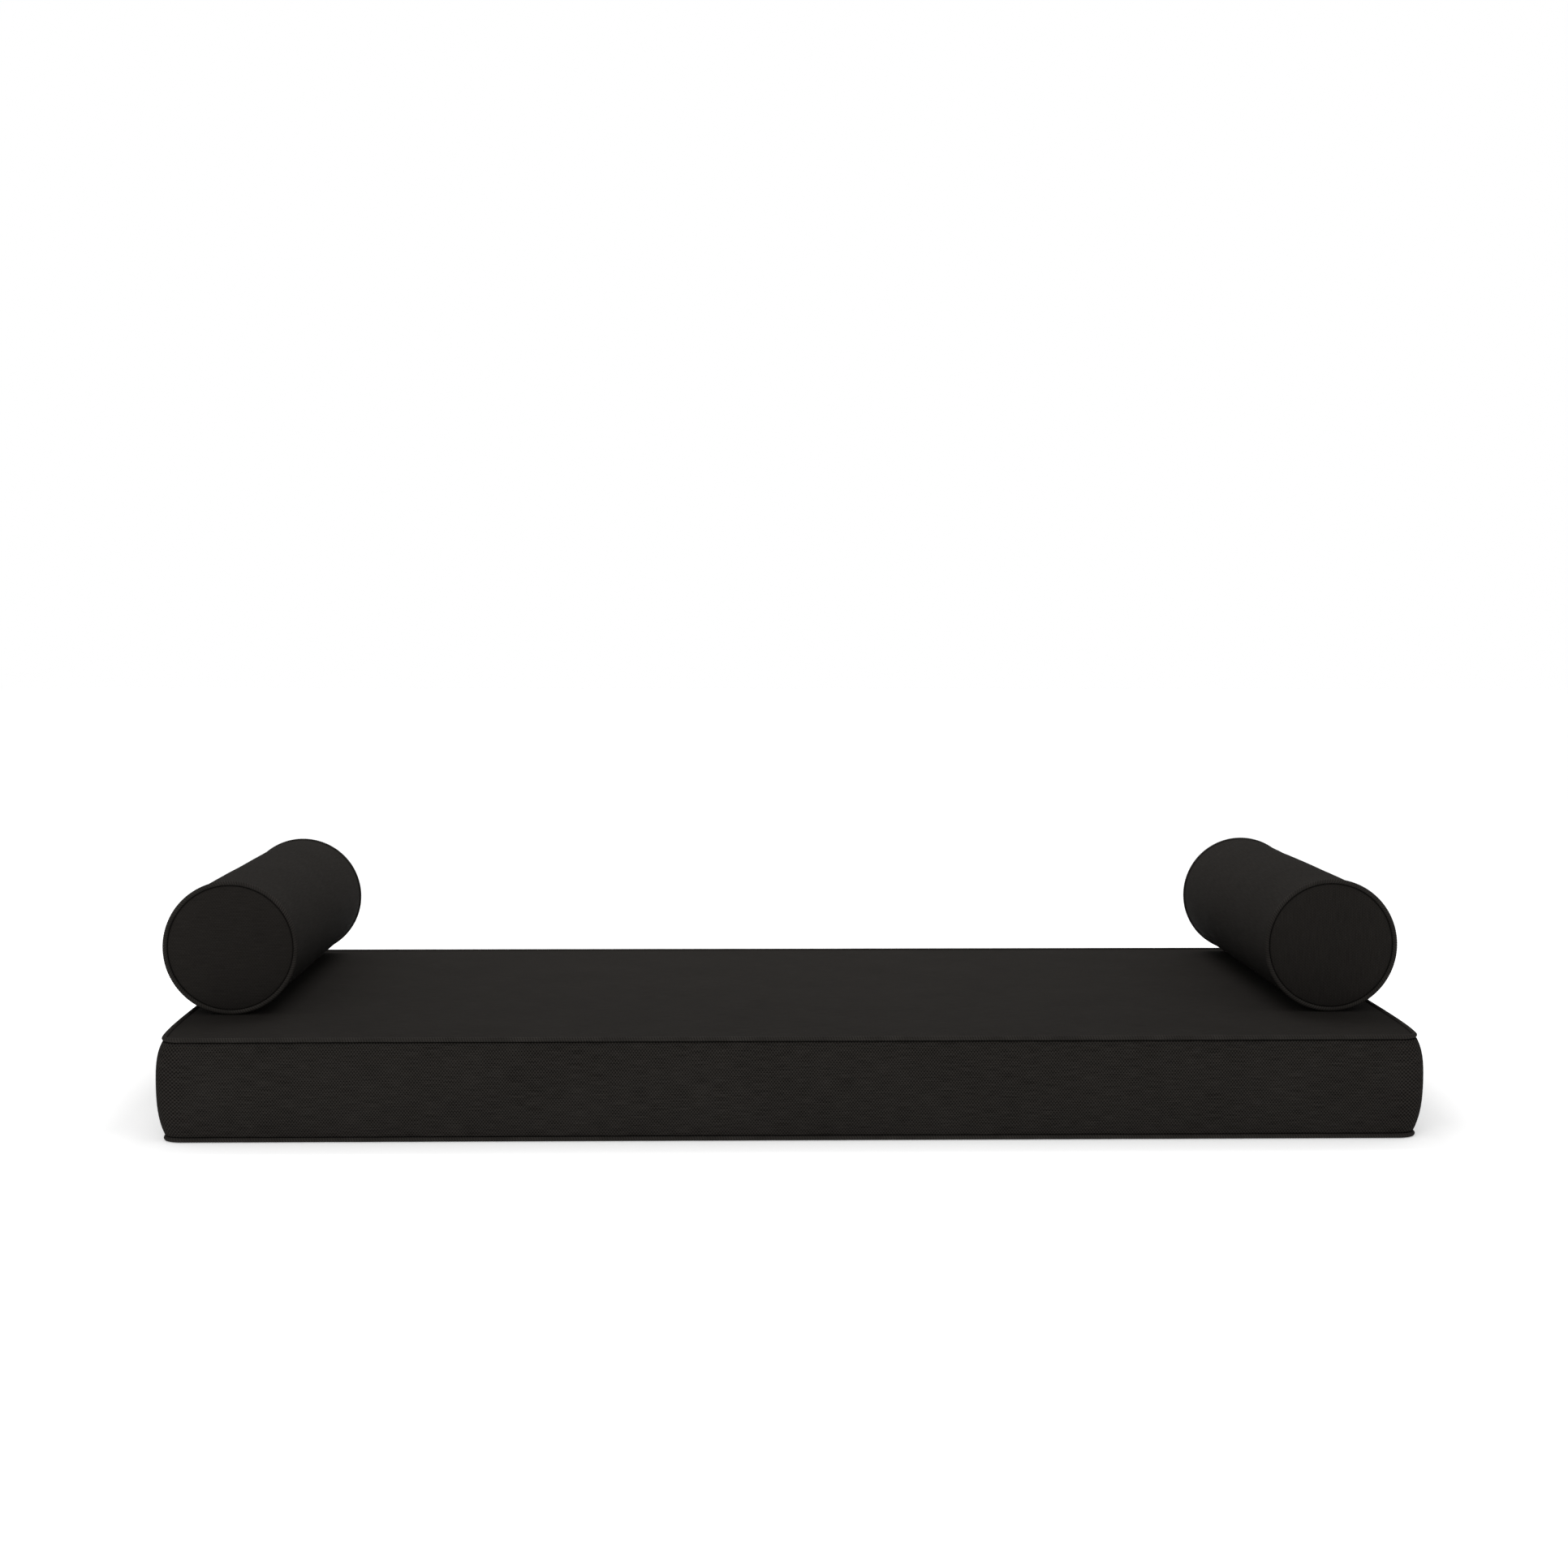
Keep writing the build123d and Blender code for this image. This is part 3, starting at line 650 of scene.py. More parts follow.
def enamel_material():
    """Black enamel over zinc, chipped to bare metal in a few small places."""
    material, tree, shader = new_material("black_enamel")
    place = node(tree, "ShaderNodeTexCoord").outputs["Object"]
    chips = to_range(tree, noise_at(tree, place, 900.0, 4.0, 0.6), 0.66, 0.70, 0.0, 1.0)
    scuff = noise_at(tree, stretched(tree, place, (300.0, 300.0, 1800.0)), 1.0, 3.0)
    paint = blend_colours(tree, scuff, (0.012, 0.012, 0.013), (0.040, 0.040, 0.042))
    colour = blend_colours(tree, chips, paint, (0.42, 0.41, 0.39))
    tree.links.new(colour, shader.inputs["Base Color"])
    tree.links.new(chips, shader.inputs["Metallic"])
    tree.links.new(to_range(tree, scuff, 0.3, 0.7, 0.28, 0.55), shader.inputs["Roughness"])
    add_bump(tree, shader, calc(tree, "MULTIPLY_ADD", chips, -0.5, scuff), 0.00004)
    return material


def ribbon_material():
    """Blank off-white satin ribbon with a firm woven edge."""
    material, tree, shader = new_material("satin_ribbon")
    place = node(tree, "ShaderNodeTexCoord").outputs["Object"]
    weave = grouped(tree, weave_group, Place=place, Yarn_Pitch=0.0005, Row_Pitch=0.0004, Waver=0.0001)
    ridge = noise_at(tree, stretched(tree, place, (60.0, 1.0, 2600.0)), 1.0, 2.0)
    wear = grouped(tree, wear_group, Place=place, Patch_Scale=30.0)
    colour = blend_colours(tree, ridge, (0.62, 0.60, 0.55), (0.80, 0.79, 0.75))
    worn = calc(tree, "MULTIPLY", wear.outputs["Tone"], 0.15)
    colour = blend_colours(tree, worn, colour, (0.45, 0.42, 0.36))
    rough = to_range(tree, ridge, 0.3, 0.7, 0.35, 0.55)
    dress(tree, shader, colour, rough, weave.outputs["Height"], 0.00003)
    return material


zip_tape = tape_material()
zip_teeth = coil_material()
enamel = enamel_material()
ribbon = ribbon_material()
print("materials so far:", len(bpy.data.materials))


# %% Painting what stays from the engineering model
def paint(obj, material):
    """Gives an object one material."""
    obj.data.materials.clear()
    obj.data.materials.append(material)


INNER_FINISHES = {
    "ticking_case": ticking,
    "ticking_top": ticking,
    "foam_core": foam,
    "lower_batting": batting,
    "upper_batting": batting,
    "side_batting": batting,
    "care_label": ribbon,
}
for name, material in INNER_FINISHES.items():
    paint(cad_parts[name], material)
for name, material in {
    "inner_bag": ticking, "inner_bag_end": ticking, "fibre_fill": batting, "welt_cords": cotton_cord,
}.items():
    for side in ("left", "right"):
        paint(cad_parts[f"{side}_bolster_{name}"], material)
for owner in ("mattress", "left_bolster", "right_bolster"):
    for half in ("upper", "lower"):
        paint(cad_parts[f"{owner}_zip_tape_{half}"], zip_tape)
    for part in ("end_stops", "slider", "pull"):
        paint(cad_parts[f"{owner}_zip_{part}"], enamel)

# %% [markdown]
# ## The floor
# A plain pale sheet. It glows a little, as a paper sweep under studio light does, so the object
# stands on white with only a faint shadow.

# %% Floor
bpy.ops.mesh.primitive_plane_add(size=40.0, location=(0.0, 0.0, -0.0006))
floor = named("studio_floor")
floor_material, floor_tree, floor_shader = new_material("pale_paper")
floor_place = node(floor_tree, "ShaderNodeTexCoord").outputs["Object"]
paper = noise_at(floor_tree, floor_place, 220.0, 3.0)
paper_colour = blend_colours(floor_tree, paper, (0.86, 0.86, 0.86), (0.90, 0.90, 0.90))
floor_tree.links.new(paper_colour, floor_shader.inputs["Base Color"])
set_plain(floor_shader, Roughness=0.9, Emission_Color=(1.0, 1.0, 1.0, 1.0), Emission_Strength=0.35)
paint(floor, floor_material)

# %% [markdown]
# ## The mattress cover as one closed form
# On the real one, the panels and the boxing are cut flat, sewn along the seam lines, and then
# stuffed until the boxing bows out. The same order works here: an even grid for the top, a
# turned copy for the bottom, and rows of edge pulled down between them. Cloth simulation then
# blows it up, held at its seams. An even grid takes the simulation better than a remeshed block
# would, and it keeps the seam lines exact.

# %% Where the grid's lines fall
EDGE_STEPS = (0.0, 0.0032, 0.013, CORNER)       # inwards from the seam line
CELL = 0.0160                                   # the even grid's cell


def lines_across(half, marks):
    """Grid lines from -half to half: close together at the rim, even between the marks."""
    rim = [half - step for step in EDGE_STEPS]
    stops = [rim[-1], *marks]
    inner = []
    for outer, nearer in zip(stops, stops[1:]):
        count = max(1, round((outer - nearer) / CELL))
        inner += [outer + (nearer - outer) * i / count for i in range(1, count + 1)]
    last = inner[-1] if inner else rim[-1]
    half_lines = rim + inner
    count = round(2 * last / CELL)
    middle = [last - 2 * last * i / count for i in range(1, count)]
    return np.array([-v for v in half_lines] + [-v for v in middle] + half_lines[::-1])


grid_x = lines_across(SEAM_X, [BACK_SEAM_X])
grid_y = lines_across(SEAM_Y, [])
print("grid lines:", len(grid_x), "x", len(grid_y))


# %% The top grid, with its corners rounded
def round_corners(places):
    """Turns each square corner of the plan into a quarter circle, and all inside it to match."""
    rounded = places.copy()
    over_x = np.abs(places[:, 0]) - (SEAM_X - CORNER)
    over_y = np.abs(places[:, 1]) - (SEAM_Y - CORNER)
    corner = (over_x > 0) & (over_y > 0)
    u, v = over_x[corner] / CORNER, over_y[corner] / CORNER
    reach_x = SEAM_X - CORNER + CORNER * u * np.sqrt(1 - v * v / 2)
    reach_y = SEAM_Y - CORNER + CORNER * v * np.sqrt(1 - u * u / 2)
    rounded[corner, 0] = np.sign(places[corner, 0]) * reach_x
    rounded[corner, 1] = np.sign(places[corner, 1]) * reach_y
    return rounded


bpy.ops.object.select_all(action="DESELECT")
bpy.ops.mesh.primitive_grid_add(
    x_subdivisions=len(grid_x) - 1, y_subdivisions=len(grid_y) - 1, size=1.0
)
cover = named("mattress_cover_form")
places = points_of(cover)
column = np.searchsorted(np.unique(np.round(places[:, 0], 5)), np.round(places[:, 0], 5))
row = np.searchsorted(np.unique(np.round(places[:, 1], 5)), np.round(places[:, 1], 5))
flat = np.column_stack([grid_x[column], grid_y[row], np.full(len(places), TOP_SEAM)])
move_points(cover, round_corners(flat))
print("top grid points:", len(places))

# %% The bottom, and the rows of the boxing
ROW_STEPS = (0.0036, 0.0054, 0.0090, 0.0140, 0.0180)        # down from the top seam
pick(cover)
bpy.ops.object.mode_set(mode="EDIT")
bpy.ops.mesh.select_all(action="SELECT")
bpy.ops.mesh.duplicate()
bpy.ops.transform.translate(value=(0.0, 0.0, BOTTOM_SEAM - TOP_SEAM))
bpy.ops.mesh.flip_normals()
bpy.ops.object.mode_set(mode="OBJECT")
edge_faces = {}
for polygon in cover.data.polygons:
    for key in polygon.edge_keys:
        edge_faces[key] = edge_faces.get(key, 0) + 1
heights = points_of(cover)[:, 2]
for vertex in cover.data.vertices:
    vertex.select = False
for polygon in cover.data.polygons:
    polygon.select = False
for edge in cover.data.edges:
    edge.select = edge_faces[edge.key] == 1 and bool(heights[edge.vertices[0]] > MIDDLE_Z)
bpy.ops.object.mode_set(mode="EDIT")
bpy.context.tool_settings.mesh_select_mode = (False, True, False)
bpy.ops.mesh.select_mode(type="EDGE")
to_slot = TOP_SEAM - SLOT_HIGH
drops = [*ROW_STEPS, to_slot - sum(ROW_STEPS)]
drops += [SLOT_HIGH - SLOT_LOW, *drops[::-1]]
for drop in drops:
    bpy.ops.mesh.extrude_edges_move(TRANSFORM_OT_translate={"value": (0.0, 0.0, -drop)})
bpy.ops.mesh.select_all(action="SELECT")
bpy.ops.mesh.remove_doubles(threshold=0.00005)
bpy.ops.mesh.normals_make_consistent(inside=False)
bpy.ops.object.mode_set(mode="OBJECT")
print("cover form:", len(cover.data.vertices), "points,", len(cover.data.polygons), "faces")

# %% [markdown]
# ### Which cloth each face belongs to
# The faces are sorted into the real pieces now, while the form is still square and easy to
# read. Each piece gets a material slot, and later one operator parts the form along its seams.

# %% Sorting the faces
COVER_PIECES = (
    "top_panel", "bottom_panel", "main_boxing", "back_boxing_upper", "back_boxing_lower", "slot"
)
for _ in COVER_PIECES:
    cover.data.materials.append(bpy.data.materials.new("part"))


def cover_piece(centre, normal):
    """Which of the cover's pieces a face of the square form belongs to."""
    if abs(normal.z) > 0.5:
        return "top_panel" if centre.z > MIDDLE_Z else "bottom_panel"
    if centre.y < SEAM_Y - 0.001 or abs(centre.x) > BACK_SEAM_X:
        return "main_boxing"
    if SLOT_LOW < centre.z < SLOT_HIGH:
        return "slot"
    return "back_boxing_upper" if centre.z > MIDDLE_Z else "back_boxing_lower"


for polygon in cover.data.polygons:
    polygon.material_index = COVER_PIECES.index(cover_piece(polygon.center, polygon.normal))
counts = np.bincount([p.material_index for p in cover.data.polygons], minlength=len(COVER_PIECES))
print(dict(zip(COVER_PIECES, counts.tolist())))

# %% [markdown]
# ### Laying the cloth map
# The weave has to follow the cloth, so each face gets a place in metres: across the panels as
# they lie, and along the boxing by the length round the mattress, as if it were unrolled.

# %% The cloth map of the mattress
def round_length(x, y):
    """The length along the boxing from the middle of the front, to the right or to the left."""
    side = 1.0 if x >= 0 else -1.0
    x = abs(x)
    straight_x, straight_y = SEAM_X - CORNER, SEAM_Y - CORNER
    quarter = CORNER * math.pi / 2
    if x <= straight_x and y < 0:
        return side * x
    if y < -straight_y:
        return side * (straight_x + CORNER * math.atan2(x - straight_x, -y - straight_y))
    if y <= straight_y:
        return side * (straight_x + quarter + y + straight_y)
    if x > straight_x:
        bend = CORNER * math.atan2(y - straight_y, x - straight_x)
        return side * (straight_x + quarter + 2 * straight_y + bend)
    return side * (straight_x + 2 * quarter + 2 * straight_y + straight_x - x)


def lay_cover_map(obj):
    """Writes the cloth map of the square form."""
    layer = obj.data.uv_layers.new(name="cloth")
    places = points_of(obj)
    for polygon in obj.data.polygons:
        for corner in polygon.loop_indices:
            x, y, z = places[obj.data.loops[corner].vertex_index]
            flat_face = polygon.material_index < 2
            layer.data[corner].uv = (x, y) if flat_face else (round_length(x, y), z)


lay_cover_map(cover)

# %% [markdown]
# ### Blowing it up
# Cloth with an inside pressure and no weight swells as stuffing would make it. The seam loops,
# the folded edges of the zip's slot and the two short seams at the back are held in place.

# %% Cloth simulation
def hold(obj, held):
    """A vertex group of the points that the simulation may not move."""
    group = obj.vertex_groups.new(name="held")
    group.add([int(i) for i in np.flatnonzero(held)], 1.0, "REPLACE")
    return group.name


def inflate(obj, held, pressure, frames=20):
    """Blows a closed form up with cloth simulation and applies the result."""
    pick(obj)
    cloth = obj.modifiers.new("Cloth", "CLOTH")
    cloth.settings.vertex_group_mass = hold(obj, held)
    cloth.settings.quality = 5
    cloth.settings.mass = 0.25
    cloth.settings.tension_stiffness = 22.0
    cloth.settings.compression_stiffness = 22.0
    cloth.settings.shear_stiffness = 8.0
    cloth.settings.bending_stiffness = 0.4
    cloth.settings.use_pressure = True
    cloth.settings.uniform_pressure_force = pressure
    cloth.settings.effector_weights.gravity = 0.0
    cloth.collision_settings.use_collision = False
    cloth.point_cache.frame_start = 1
    cloth.point_cache.frame_end = frames
    for frame_number in range(1, frames + 1):
        bpy.context.scene.frame_set(frame_number)
    bpy.ops.object.modifier_apply(modifier=cloth.name)
    bpy.context.scene.frame_set(1)


square = points_of(cover)
on_rim = (np.abs(square[:, 0]) > SEAM_X - CLOSE) | (np.abs(square[:, 1]) > SEAM_Y - CLOSE)
corner_out = np.hypot(
    np.abs(square[:, 0]) - (SEAM_X - CORNER), np.abs(square[:, 1]) - (SEAM_Y - CORNER)
)
in_corner = (np.abs(square[:, 0]) > SEAM_X - CORNER) & (np.abs(square[:, 1]) > SEAM_Y - CORNER)
on_rim |= in_corner & (corner_out > CORNER - CLOSE)
at_seam = (np.abs(square[:, 2] - TOP_SEAM) < CLOSE) | (np.abs(square[:, 2] - BOTTOM_SEAM) < CLOSE)
on_back = (square[:, 1] > SEAM_Y - CLOSE) & (np.abs(square[:, 0]) < BACK_SEAM_X + CLOSE)
at_slot = on_back & (np.abs(square[:, 2] - MIDDLE_Z) < (SLOT_HIGH - SLOT_LOW) / 2 + CLOSE)
swollen = square.copy()
inflate(cover, (on_rim & at_seam) | at_slot, 4.0)
swollen = points_of(cover)
print("held points:", int(((on_rim & at_seam) | at_slot).sum()))
print("swell, in mm:", (1000 * np.abs(swollen - square).max(0)).round(1))

# %% [markdown]
# ### Settling the swell
# Free cloth would balloon, and stuffing doesn't, so most of the swell is let down again. The
# shape comes from what the real stuffing fills: a boxing that stands out quickly from each seam
# and is nearly flat between, and a top that is flat where the bolsters rest. The simulated
# share of each point raises the top's slight crown between them, and makes a small part of the
# boxing's bulge fuller in some places than in others.

# %% Shape of the stuffed cover
FULLNESS = 3.6              # how squarely the boxing bows: 2 is an arc, more is flatter
LOW_FULLNESS = 2.6          # the same below its middle, where the floor holds the seam in
SIDE_BOW = 0.0105           # how far the two ends bow out in plan
BOW_LEAN = 0.15             # how much more they bow at the top seam than halfway down
END_BULGE = 1.30            # how much more the boxing bulges at the ends than in front
BOW_REACH = 0.080           # from a corner to where most of the bow is reached
SIDE_SHARE = 0.03           # how much of that bulge depends on the simulated share
CROWN = 0.0022              # the top's rise between the bolsters
CREASE_RUN = 0.0012         # how quickly a panel leaves its seam
bolster_x = {s: sum(c.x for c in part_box(f"{s}_bolster_tube_cover")) / 2 for s in ("left", "right")}


def seam_distance(places):
    """How far inside the seam line each point of a panel lies."""
    inside_x = SEAM_X - np.abs(places[:, 0])
    inside_y = SEAM_Y - np.abs(places[:, 1])
    round_x, round_y = np.maximum(CORNER - inside_x, 0), np.maximum(CORNER - inside_y, 0)
    in_round = (inside_x < CORNER) & (inside_y < CORNER)
    return np.where(in_round, CORNER - np.hypot(round_x, round_y), np.minimum(inside_x, inside_y))


def bow(places):
    """The ends' cloth moved out in plan, least at the corners."""
    bowed = places.copy()
    from_corner = np.maximum(SEAM_Y - np.abs(places[:, 1]), 0)
    lean = 1 + BOW_LEAN * (places[:, 2] - MIDDLE_Z) / HALF_BOXING
    amount = SIDE_BOW * lean * (1 - np.exp(-from_corner / BOW_REACH))
    near_end = ease(np.abs(places[:, 0]), SEAM_X - 0.18, SEAM_X)
    bowed[:, 0] += np.sign(places[:, 0]) * amount * near_end
    return bowed


def outward(places):
    """The level direction straight out of the boxing at each point of the square form."""
    across_x = np.maximum(np.abs(places[:, 0]) - (SEAM_X - CORNER), 0) * np.sign(places[:, 0])
    across_y = np.maximum(np.abs(places[:, 1]) - (SEAM_Y - CORNER), 0) * np.sign(places[:, 1])
    reach = np.column_stack([across_x, across_y, np.zeros(len(places))])
    return reach / np.maximum(np.linalg.norm(reach, axis=1), 1e-9)[:, None]


def settle_cover(square, swollen):
    """The square form moved to the shape of the stuffed cover, by the swell of each point."""
    share = np.linalg.norm(swollen - square, axis=1)
    inside = seam_distance(square)
    settled = bow(square)
    height = (square[:, 2] - MIDDLE_Z) / HALF_BOXING
    side = np.abs(height) < 1 - 1e-6
    relative = share / max(share[side].max(), 1e-6)
    fullness = np.where(height > 0, FULLNESS, LOW_FULLNESS)
    reach = BULGE * (1 - np.abs(height) ** fullness) * (1 - SIDE_SHARE + SIDE_SHARE * relative)
    ways = outward(square) * np.array((END_BULGE, 1.0, 1.0))
    settled[side] += (ways * reach[:, None])[side]
    top = height > 1 - 1e-6
    relative = share / max(share[top].max(), 1e-6)
    leave = 1 - np.exp(-inside / CREASE_RUN)
    between = ease(square[:, 0], bolster_x["left"] + 0.10, bolster_x["left"] + 0.45)
    between *= ease(-square[:, 0], -bolster_x["right"] + 0.10, -bolster_x["right"] + 0.45)
    rise = leave * (TOP_FACE - TOP_SEAM) + CROWN * between * ease(inside, 0.02, 0.30) * relative
    settled[top, 2] = TOP_SEAM + rise[top]
    bottom = height < -1 + 1e-6
    settled[bottom, 2] = BOTTOM_SEAM * (1 - leave[bottom])
    return settled


move_points(cover, settle_cover(square, swollen))
print("cover now, in mm:", (1000 * np.abs(points_of(cover)).max(0)).round(1))

# %% [markdown]
# ### Parting it along the seams
# One operator parts the form by its material slots, so every real piece of cloth becomes a
# shell of its own. The strip where the zip shows is thrown away.

# %% Parting the cover
def parted(form):
    """The shells that a form comes apart into, one for each of its material slots."""
    pick(form)
    bpy.ops.object.mode_set(mode="EDIT")
    bpy.ops.mesh.select_all(action="SELECT")
    bpy.ops.mesh.separate(type="MATERIAL")
    bpy.ops.object.mode_set(mode="OBJECT")
    return list(bpy.context.selected_objects)


cover_cloth = {}
for shell in parted(cover):
    centre = points_of(shell).mean(0)
    size = np.ptp(points_of(shell), axis=0)
    if size[2] < 0.03 and size[1] > 0.5:
        key = "top_panel" if centre[2] > MIDDLE_Z else "bottom_panel"
    elif size[1] > 0.5:
        key = "main_boxing"
    elif size[2] < 0.02:
        key = "slot"
    else:
        key = "back_boxing_upper" if centre[2] > MIDDLE_Z else "back_boxing_lower"
    cover_cloth[key] = shell
bpy.data.objects.remove(cover_cloth.pop("slot"))
print("parted:", sorted(cover_cloth))

# %% [markdown]
# ### Puckers and slack
# Sewn cloth isn't perfectly tight. Close to a seam the stitches gather it into short shallow
# puckers, and further off it lies in long, slow waves. Both are small pushes along the cloth's
# own normal, from seeded noise, after one subdivision has made points enough to carry them.

# %% Fine shape of each shell
PUCKER = 0.0011             # height of a pucker beside a seam
PUCKER_REACH = 0.013        # how far it runs into the boxing
SLACK = 0.0009              # height of the long waves


def push(obj, amounts):
    """Moves every point along its normal by its own amount."""
    normals = np.array([v.normal for v in obj.data.vertices])
    move_points(obj, points_of(obj) + normals * np.asarray(amounts)[:, None])


def pucker_boxing(obj, seed):
    """Short puckers beside both seams, and long waves between, none at the zip."""
    places = points_of(obj)
    round_places = np.array([(round_length(x, y), 0.0, z) for x, y, z in places])
    above = places[:, 2] - BOTTOM_SEAM
    below = TOP_SEAM - places[:, 2]
    short = soft_noise(round_places, (0.028, 1.0, 0.050), seed)
    middling = soft_noise(round_places, (0.085, 1.0, 0.060), seed + 3)
    slow = soft_noise(round_places, (0.34, 1.0, 0.16), seed + 7)
    gathered = np.exp(-above / PUCKER_REACH) * 1.5 + np.exp(-below / PUCKER_REACH) * 0.2
    free = ease(np.minimum(above, below), 0.0005, 0.006)
    zip_side = (places[:, 1] > SEAM_Y) & (np.abs(places[:, 0]) < BACK_SEAM_X + 0.02)
    calm = np.where(zip_side, ease(np.abs(places[:, 2] - MIDDLE_Z), 0.012, 0.035), 1.0)
    amounts = PUCKER * gathered * (0.7 * short + 0.5 * middling - 0.25)
    push(obj, (amounts + SLACK * (slow + 0.35 * middling)) * free * calm)


def smooth_panel(obj, seed):
    """Slow waves in the top panel, none where a bolster rests or beside the seam."""
    places = points_of(obj)
    rests = np.ones(len(places))
    for x in bolster_x.values():
        rests *= ease(np.abs(places[:, 0] - x), 0.05, 0.16)
    slow = soft_noise(places, (0.30, 0.22, 1.0), seed)
    middling = soft_noise(places, (0.10, 0.075, 1.0), seed + 5)
    free = ease(seam_distance(places), 0.004, 0.06)
    push(obj, (0.00045 * slow + 0.00020 * middling) * rests * free)


def finish_shell(obj, name, node_name, material):
    """Gives a shell its thickness, shading, cloth and body, and hides the model's part that it stands
    for.
    """
    obj.name = name
    obj.data.name = name
    apply_modifier(obj, "SOLIDIFY", thickness=CLOTH, offset=-1.0, use_even_offset=False)
    smooth(obj)
    paint(obj, material)
    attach(obj, "mattress")
    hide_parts(node_name)


for key in COVER_PIECES[:-1]:
    shell = cover_cloth[key]
    apply_modifier(
        shell, "SUBSURF", levels=1, render_levels=1, boundary_smooth="PRESERVE_CORNERS"
    )
    if "boxing" in key:
        pucker_boxing(shell, 11)
    elif key == "top_panel":
        smooth_panel(shell, 23)
    cloth_material = canvas_boxing if "boxing" in key else canvas_top
    finish_shell(shell, f"mattress_{key}_cloth", key, cloth_material)
    print(shell.name, len(shell.data.polygons), "faces")

# %% [markdown]
# ## The welts
# Each welt is a tube of cloth with a cord in it, closed in a ring. A flat grid rolls up into the
# same thing: its long side goes round the mattress and its short side round the cord, and the
# edges that meet are merged. There is a ring of points every 2 mm, and every second ring is
# drawn in a little, more in some places than in others, as the needle gathers it.

# %% A closed ring of tube along a seam
def ring_tube(name, middles, outs, ups, radius, sides, gather=0.0, seed=1):
    """A closed tube along a ring of points, with its cloth map in metres of length and girth."""
    count = len(middles)
    bpy.ops.object.select_all(action="DESELECT")
    bpy.ops.mesh.primitive_grid_add(x_subdivisions=count, y_subdivisions=sides, size=1.0)
    tube = named(name)
    sheet = points_of(tube)
    ring = np.round((sheet[:, 0] + 0.5) * count).astype(int)
    side = np.round((sheet[:, 1] + 0.5) * sides).astype(int)
    strength = np.clip(0.5 + 0.8 * soft_noise(middles, 0.035, seed), 0, 1)
    drawn = radius - gather * strength * (np.arange(count) % 2)
    angle = 2 * math.pi * (side % sides) / sides
    ring %= count
    reach = drawn[ring][:, None]
    across = np.cos(angle)[:, None] * outs[ring] + np.sin(angle)[:, None] * ups[ring]
    move_points(tube, middles[ring] + reach * across)
    length = np.linalg.norm(np.roll(middles, -1, axis=0) - middles, axis=1).sum()
    ribs = round(length / RIB_PITCH) * RIB_PITCH
    layer = tube.data.uv_layers[0]
    layer.name = "cloth"
    for corner in layer.data:
        corner.uv = (corner.uv[0] * ribs, corner.uv[1] * 2 * math.pi * radius)
    pick(tube)
    bpy.ops.object.mode_set(mode="EDIT")
    bpy.ops.mesh.select_all(action="SELECT")
    bpy.ops.mesh.remove_doubles(threshold=0.00001)
    bpy.ops.mesh.normals_make_consistent(inside=False)
    bpy.ops.object.mode_set(mode="OBJECT")
    smooth(tube, 80.0)
    return tube


def outline(step):
    """Points along the square form's seam line, a step apart, with their way straight out."""
    straight_x, straight_y = SEAM_X - CORNER, SEAM_Y - CORNER
    total = 4 * straight_x + 4 * straight_y + 2 * math.pi * CORNER
    count = 2 * round(total / step / 2)
    places, ways = [], []
    for i in range(count):
        left = total * i / count
        for turn in range(4):
            run = 2 * (straight_x if turn % 2 == 0 else straight_y)
            centre = Vector((straight_x, -straight_y, 0)) if turn == 0 else corner_centre(turn)
            heading = Vector((0, -1, 0))
            heading.rotate(Matrix.Rotation(turn * math.pi / 2, 3, "Z"))
            if left <= run:
                along = Vector((1, 0, 0))
                along.rotate(Matrix.Rotation(turn * math.pi / 2, 3, "Z"))
                places.append(centre + heading * CORNER + along * (left - run))
                ways.append(heading)
                break
            left -= run
            bend = CORNER * math.pi / 2
            if left <= bend:
                heading.rotate(Matrix.Rotation(left / CORNER, 3, "Z"))
                places.append(centre + heading * CORNER)
                ways.append(heading)
                break
            left -= bend
    return np.array(places), np.array(ways)


def corner_centre(turn):
    """The middle of the rounding at the end of a side: front, right, back, left."""
    signs = ((1, -1), (1, 1), (-1, 1), (-1, -1))[turn]
    return Vector((signs[0] * (SEAM_X - CORNER), signs[1] * (SEAM_Y - CORNER), 0))


RING_STEP = 0.002
seam_places, seam_ways = outline(RING_STEP)
print("seam line points:", len(seam_places))

# %% The mattress's two welts and their cords
CORD_RADIUS = (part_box("top_welt_cord")[1].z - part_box("top_welt_cord")[0].z) / 2
GATHER = 0.00028            # how far every second ring is drawn in
straight_up = np.tile((0.0, 0.0, 1.0), (len(seam_places), 1))
for which, seam_z, seed in (("top", TOP_SEAM, 5), ("bottom", BOTTOM_SEAM, 9)):
    middles = bow(seam_places + np.array((0.0, 0.0, seam_z)))
    welt = ring_tube(
        f"mattress_{which}_welt_piping", middles, seam_ways, straight_up, WELT_RADIUS, 12, GATHER, seed
    )
    paint(welt, welt_cloth)
    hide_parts(f"{which}_welt")
    cord_ring = ring_tube(
        f"mattress_{which}_welt_filler", middles[::3], seam_ways[::3], straight_up[::3], CORD_RADIUS, 8
    )
    paint(cord_ring, cotton_cord)
    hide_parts(f"{which}_welt_cord")
    for piece in (welt, cord_ring):
        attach(piece, "mattress")
    print(welt.name, len(welt.data.polygons), "faces")

# %% [markdown]
# ## The bolsters
# A bolster is a tube of canvas with a round piece sewn into each end over a welt. It begins as a
# circle that is pulled out into rows, drawn in at both ends to make the discs, and closed. It is
# blown up like the mattress. Both bolsters are the same item, so it is modelled once and copied,
# and the right one is turned end for end, as it lies.

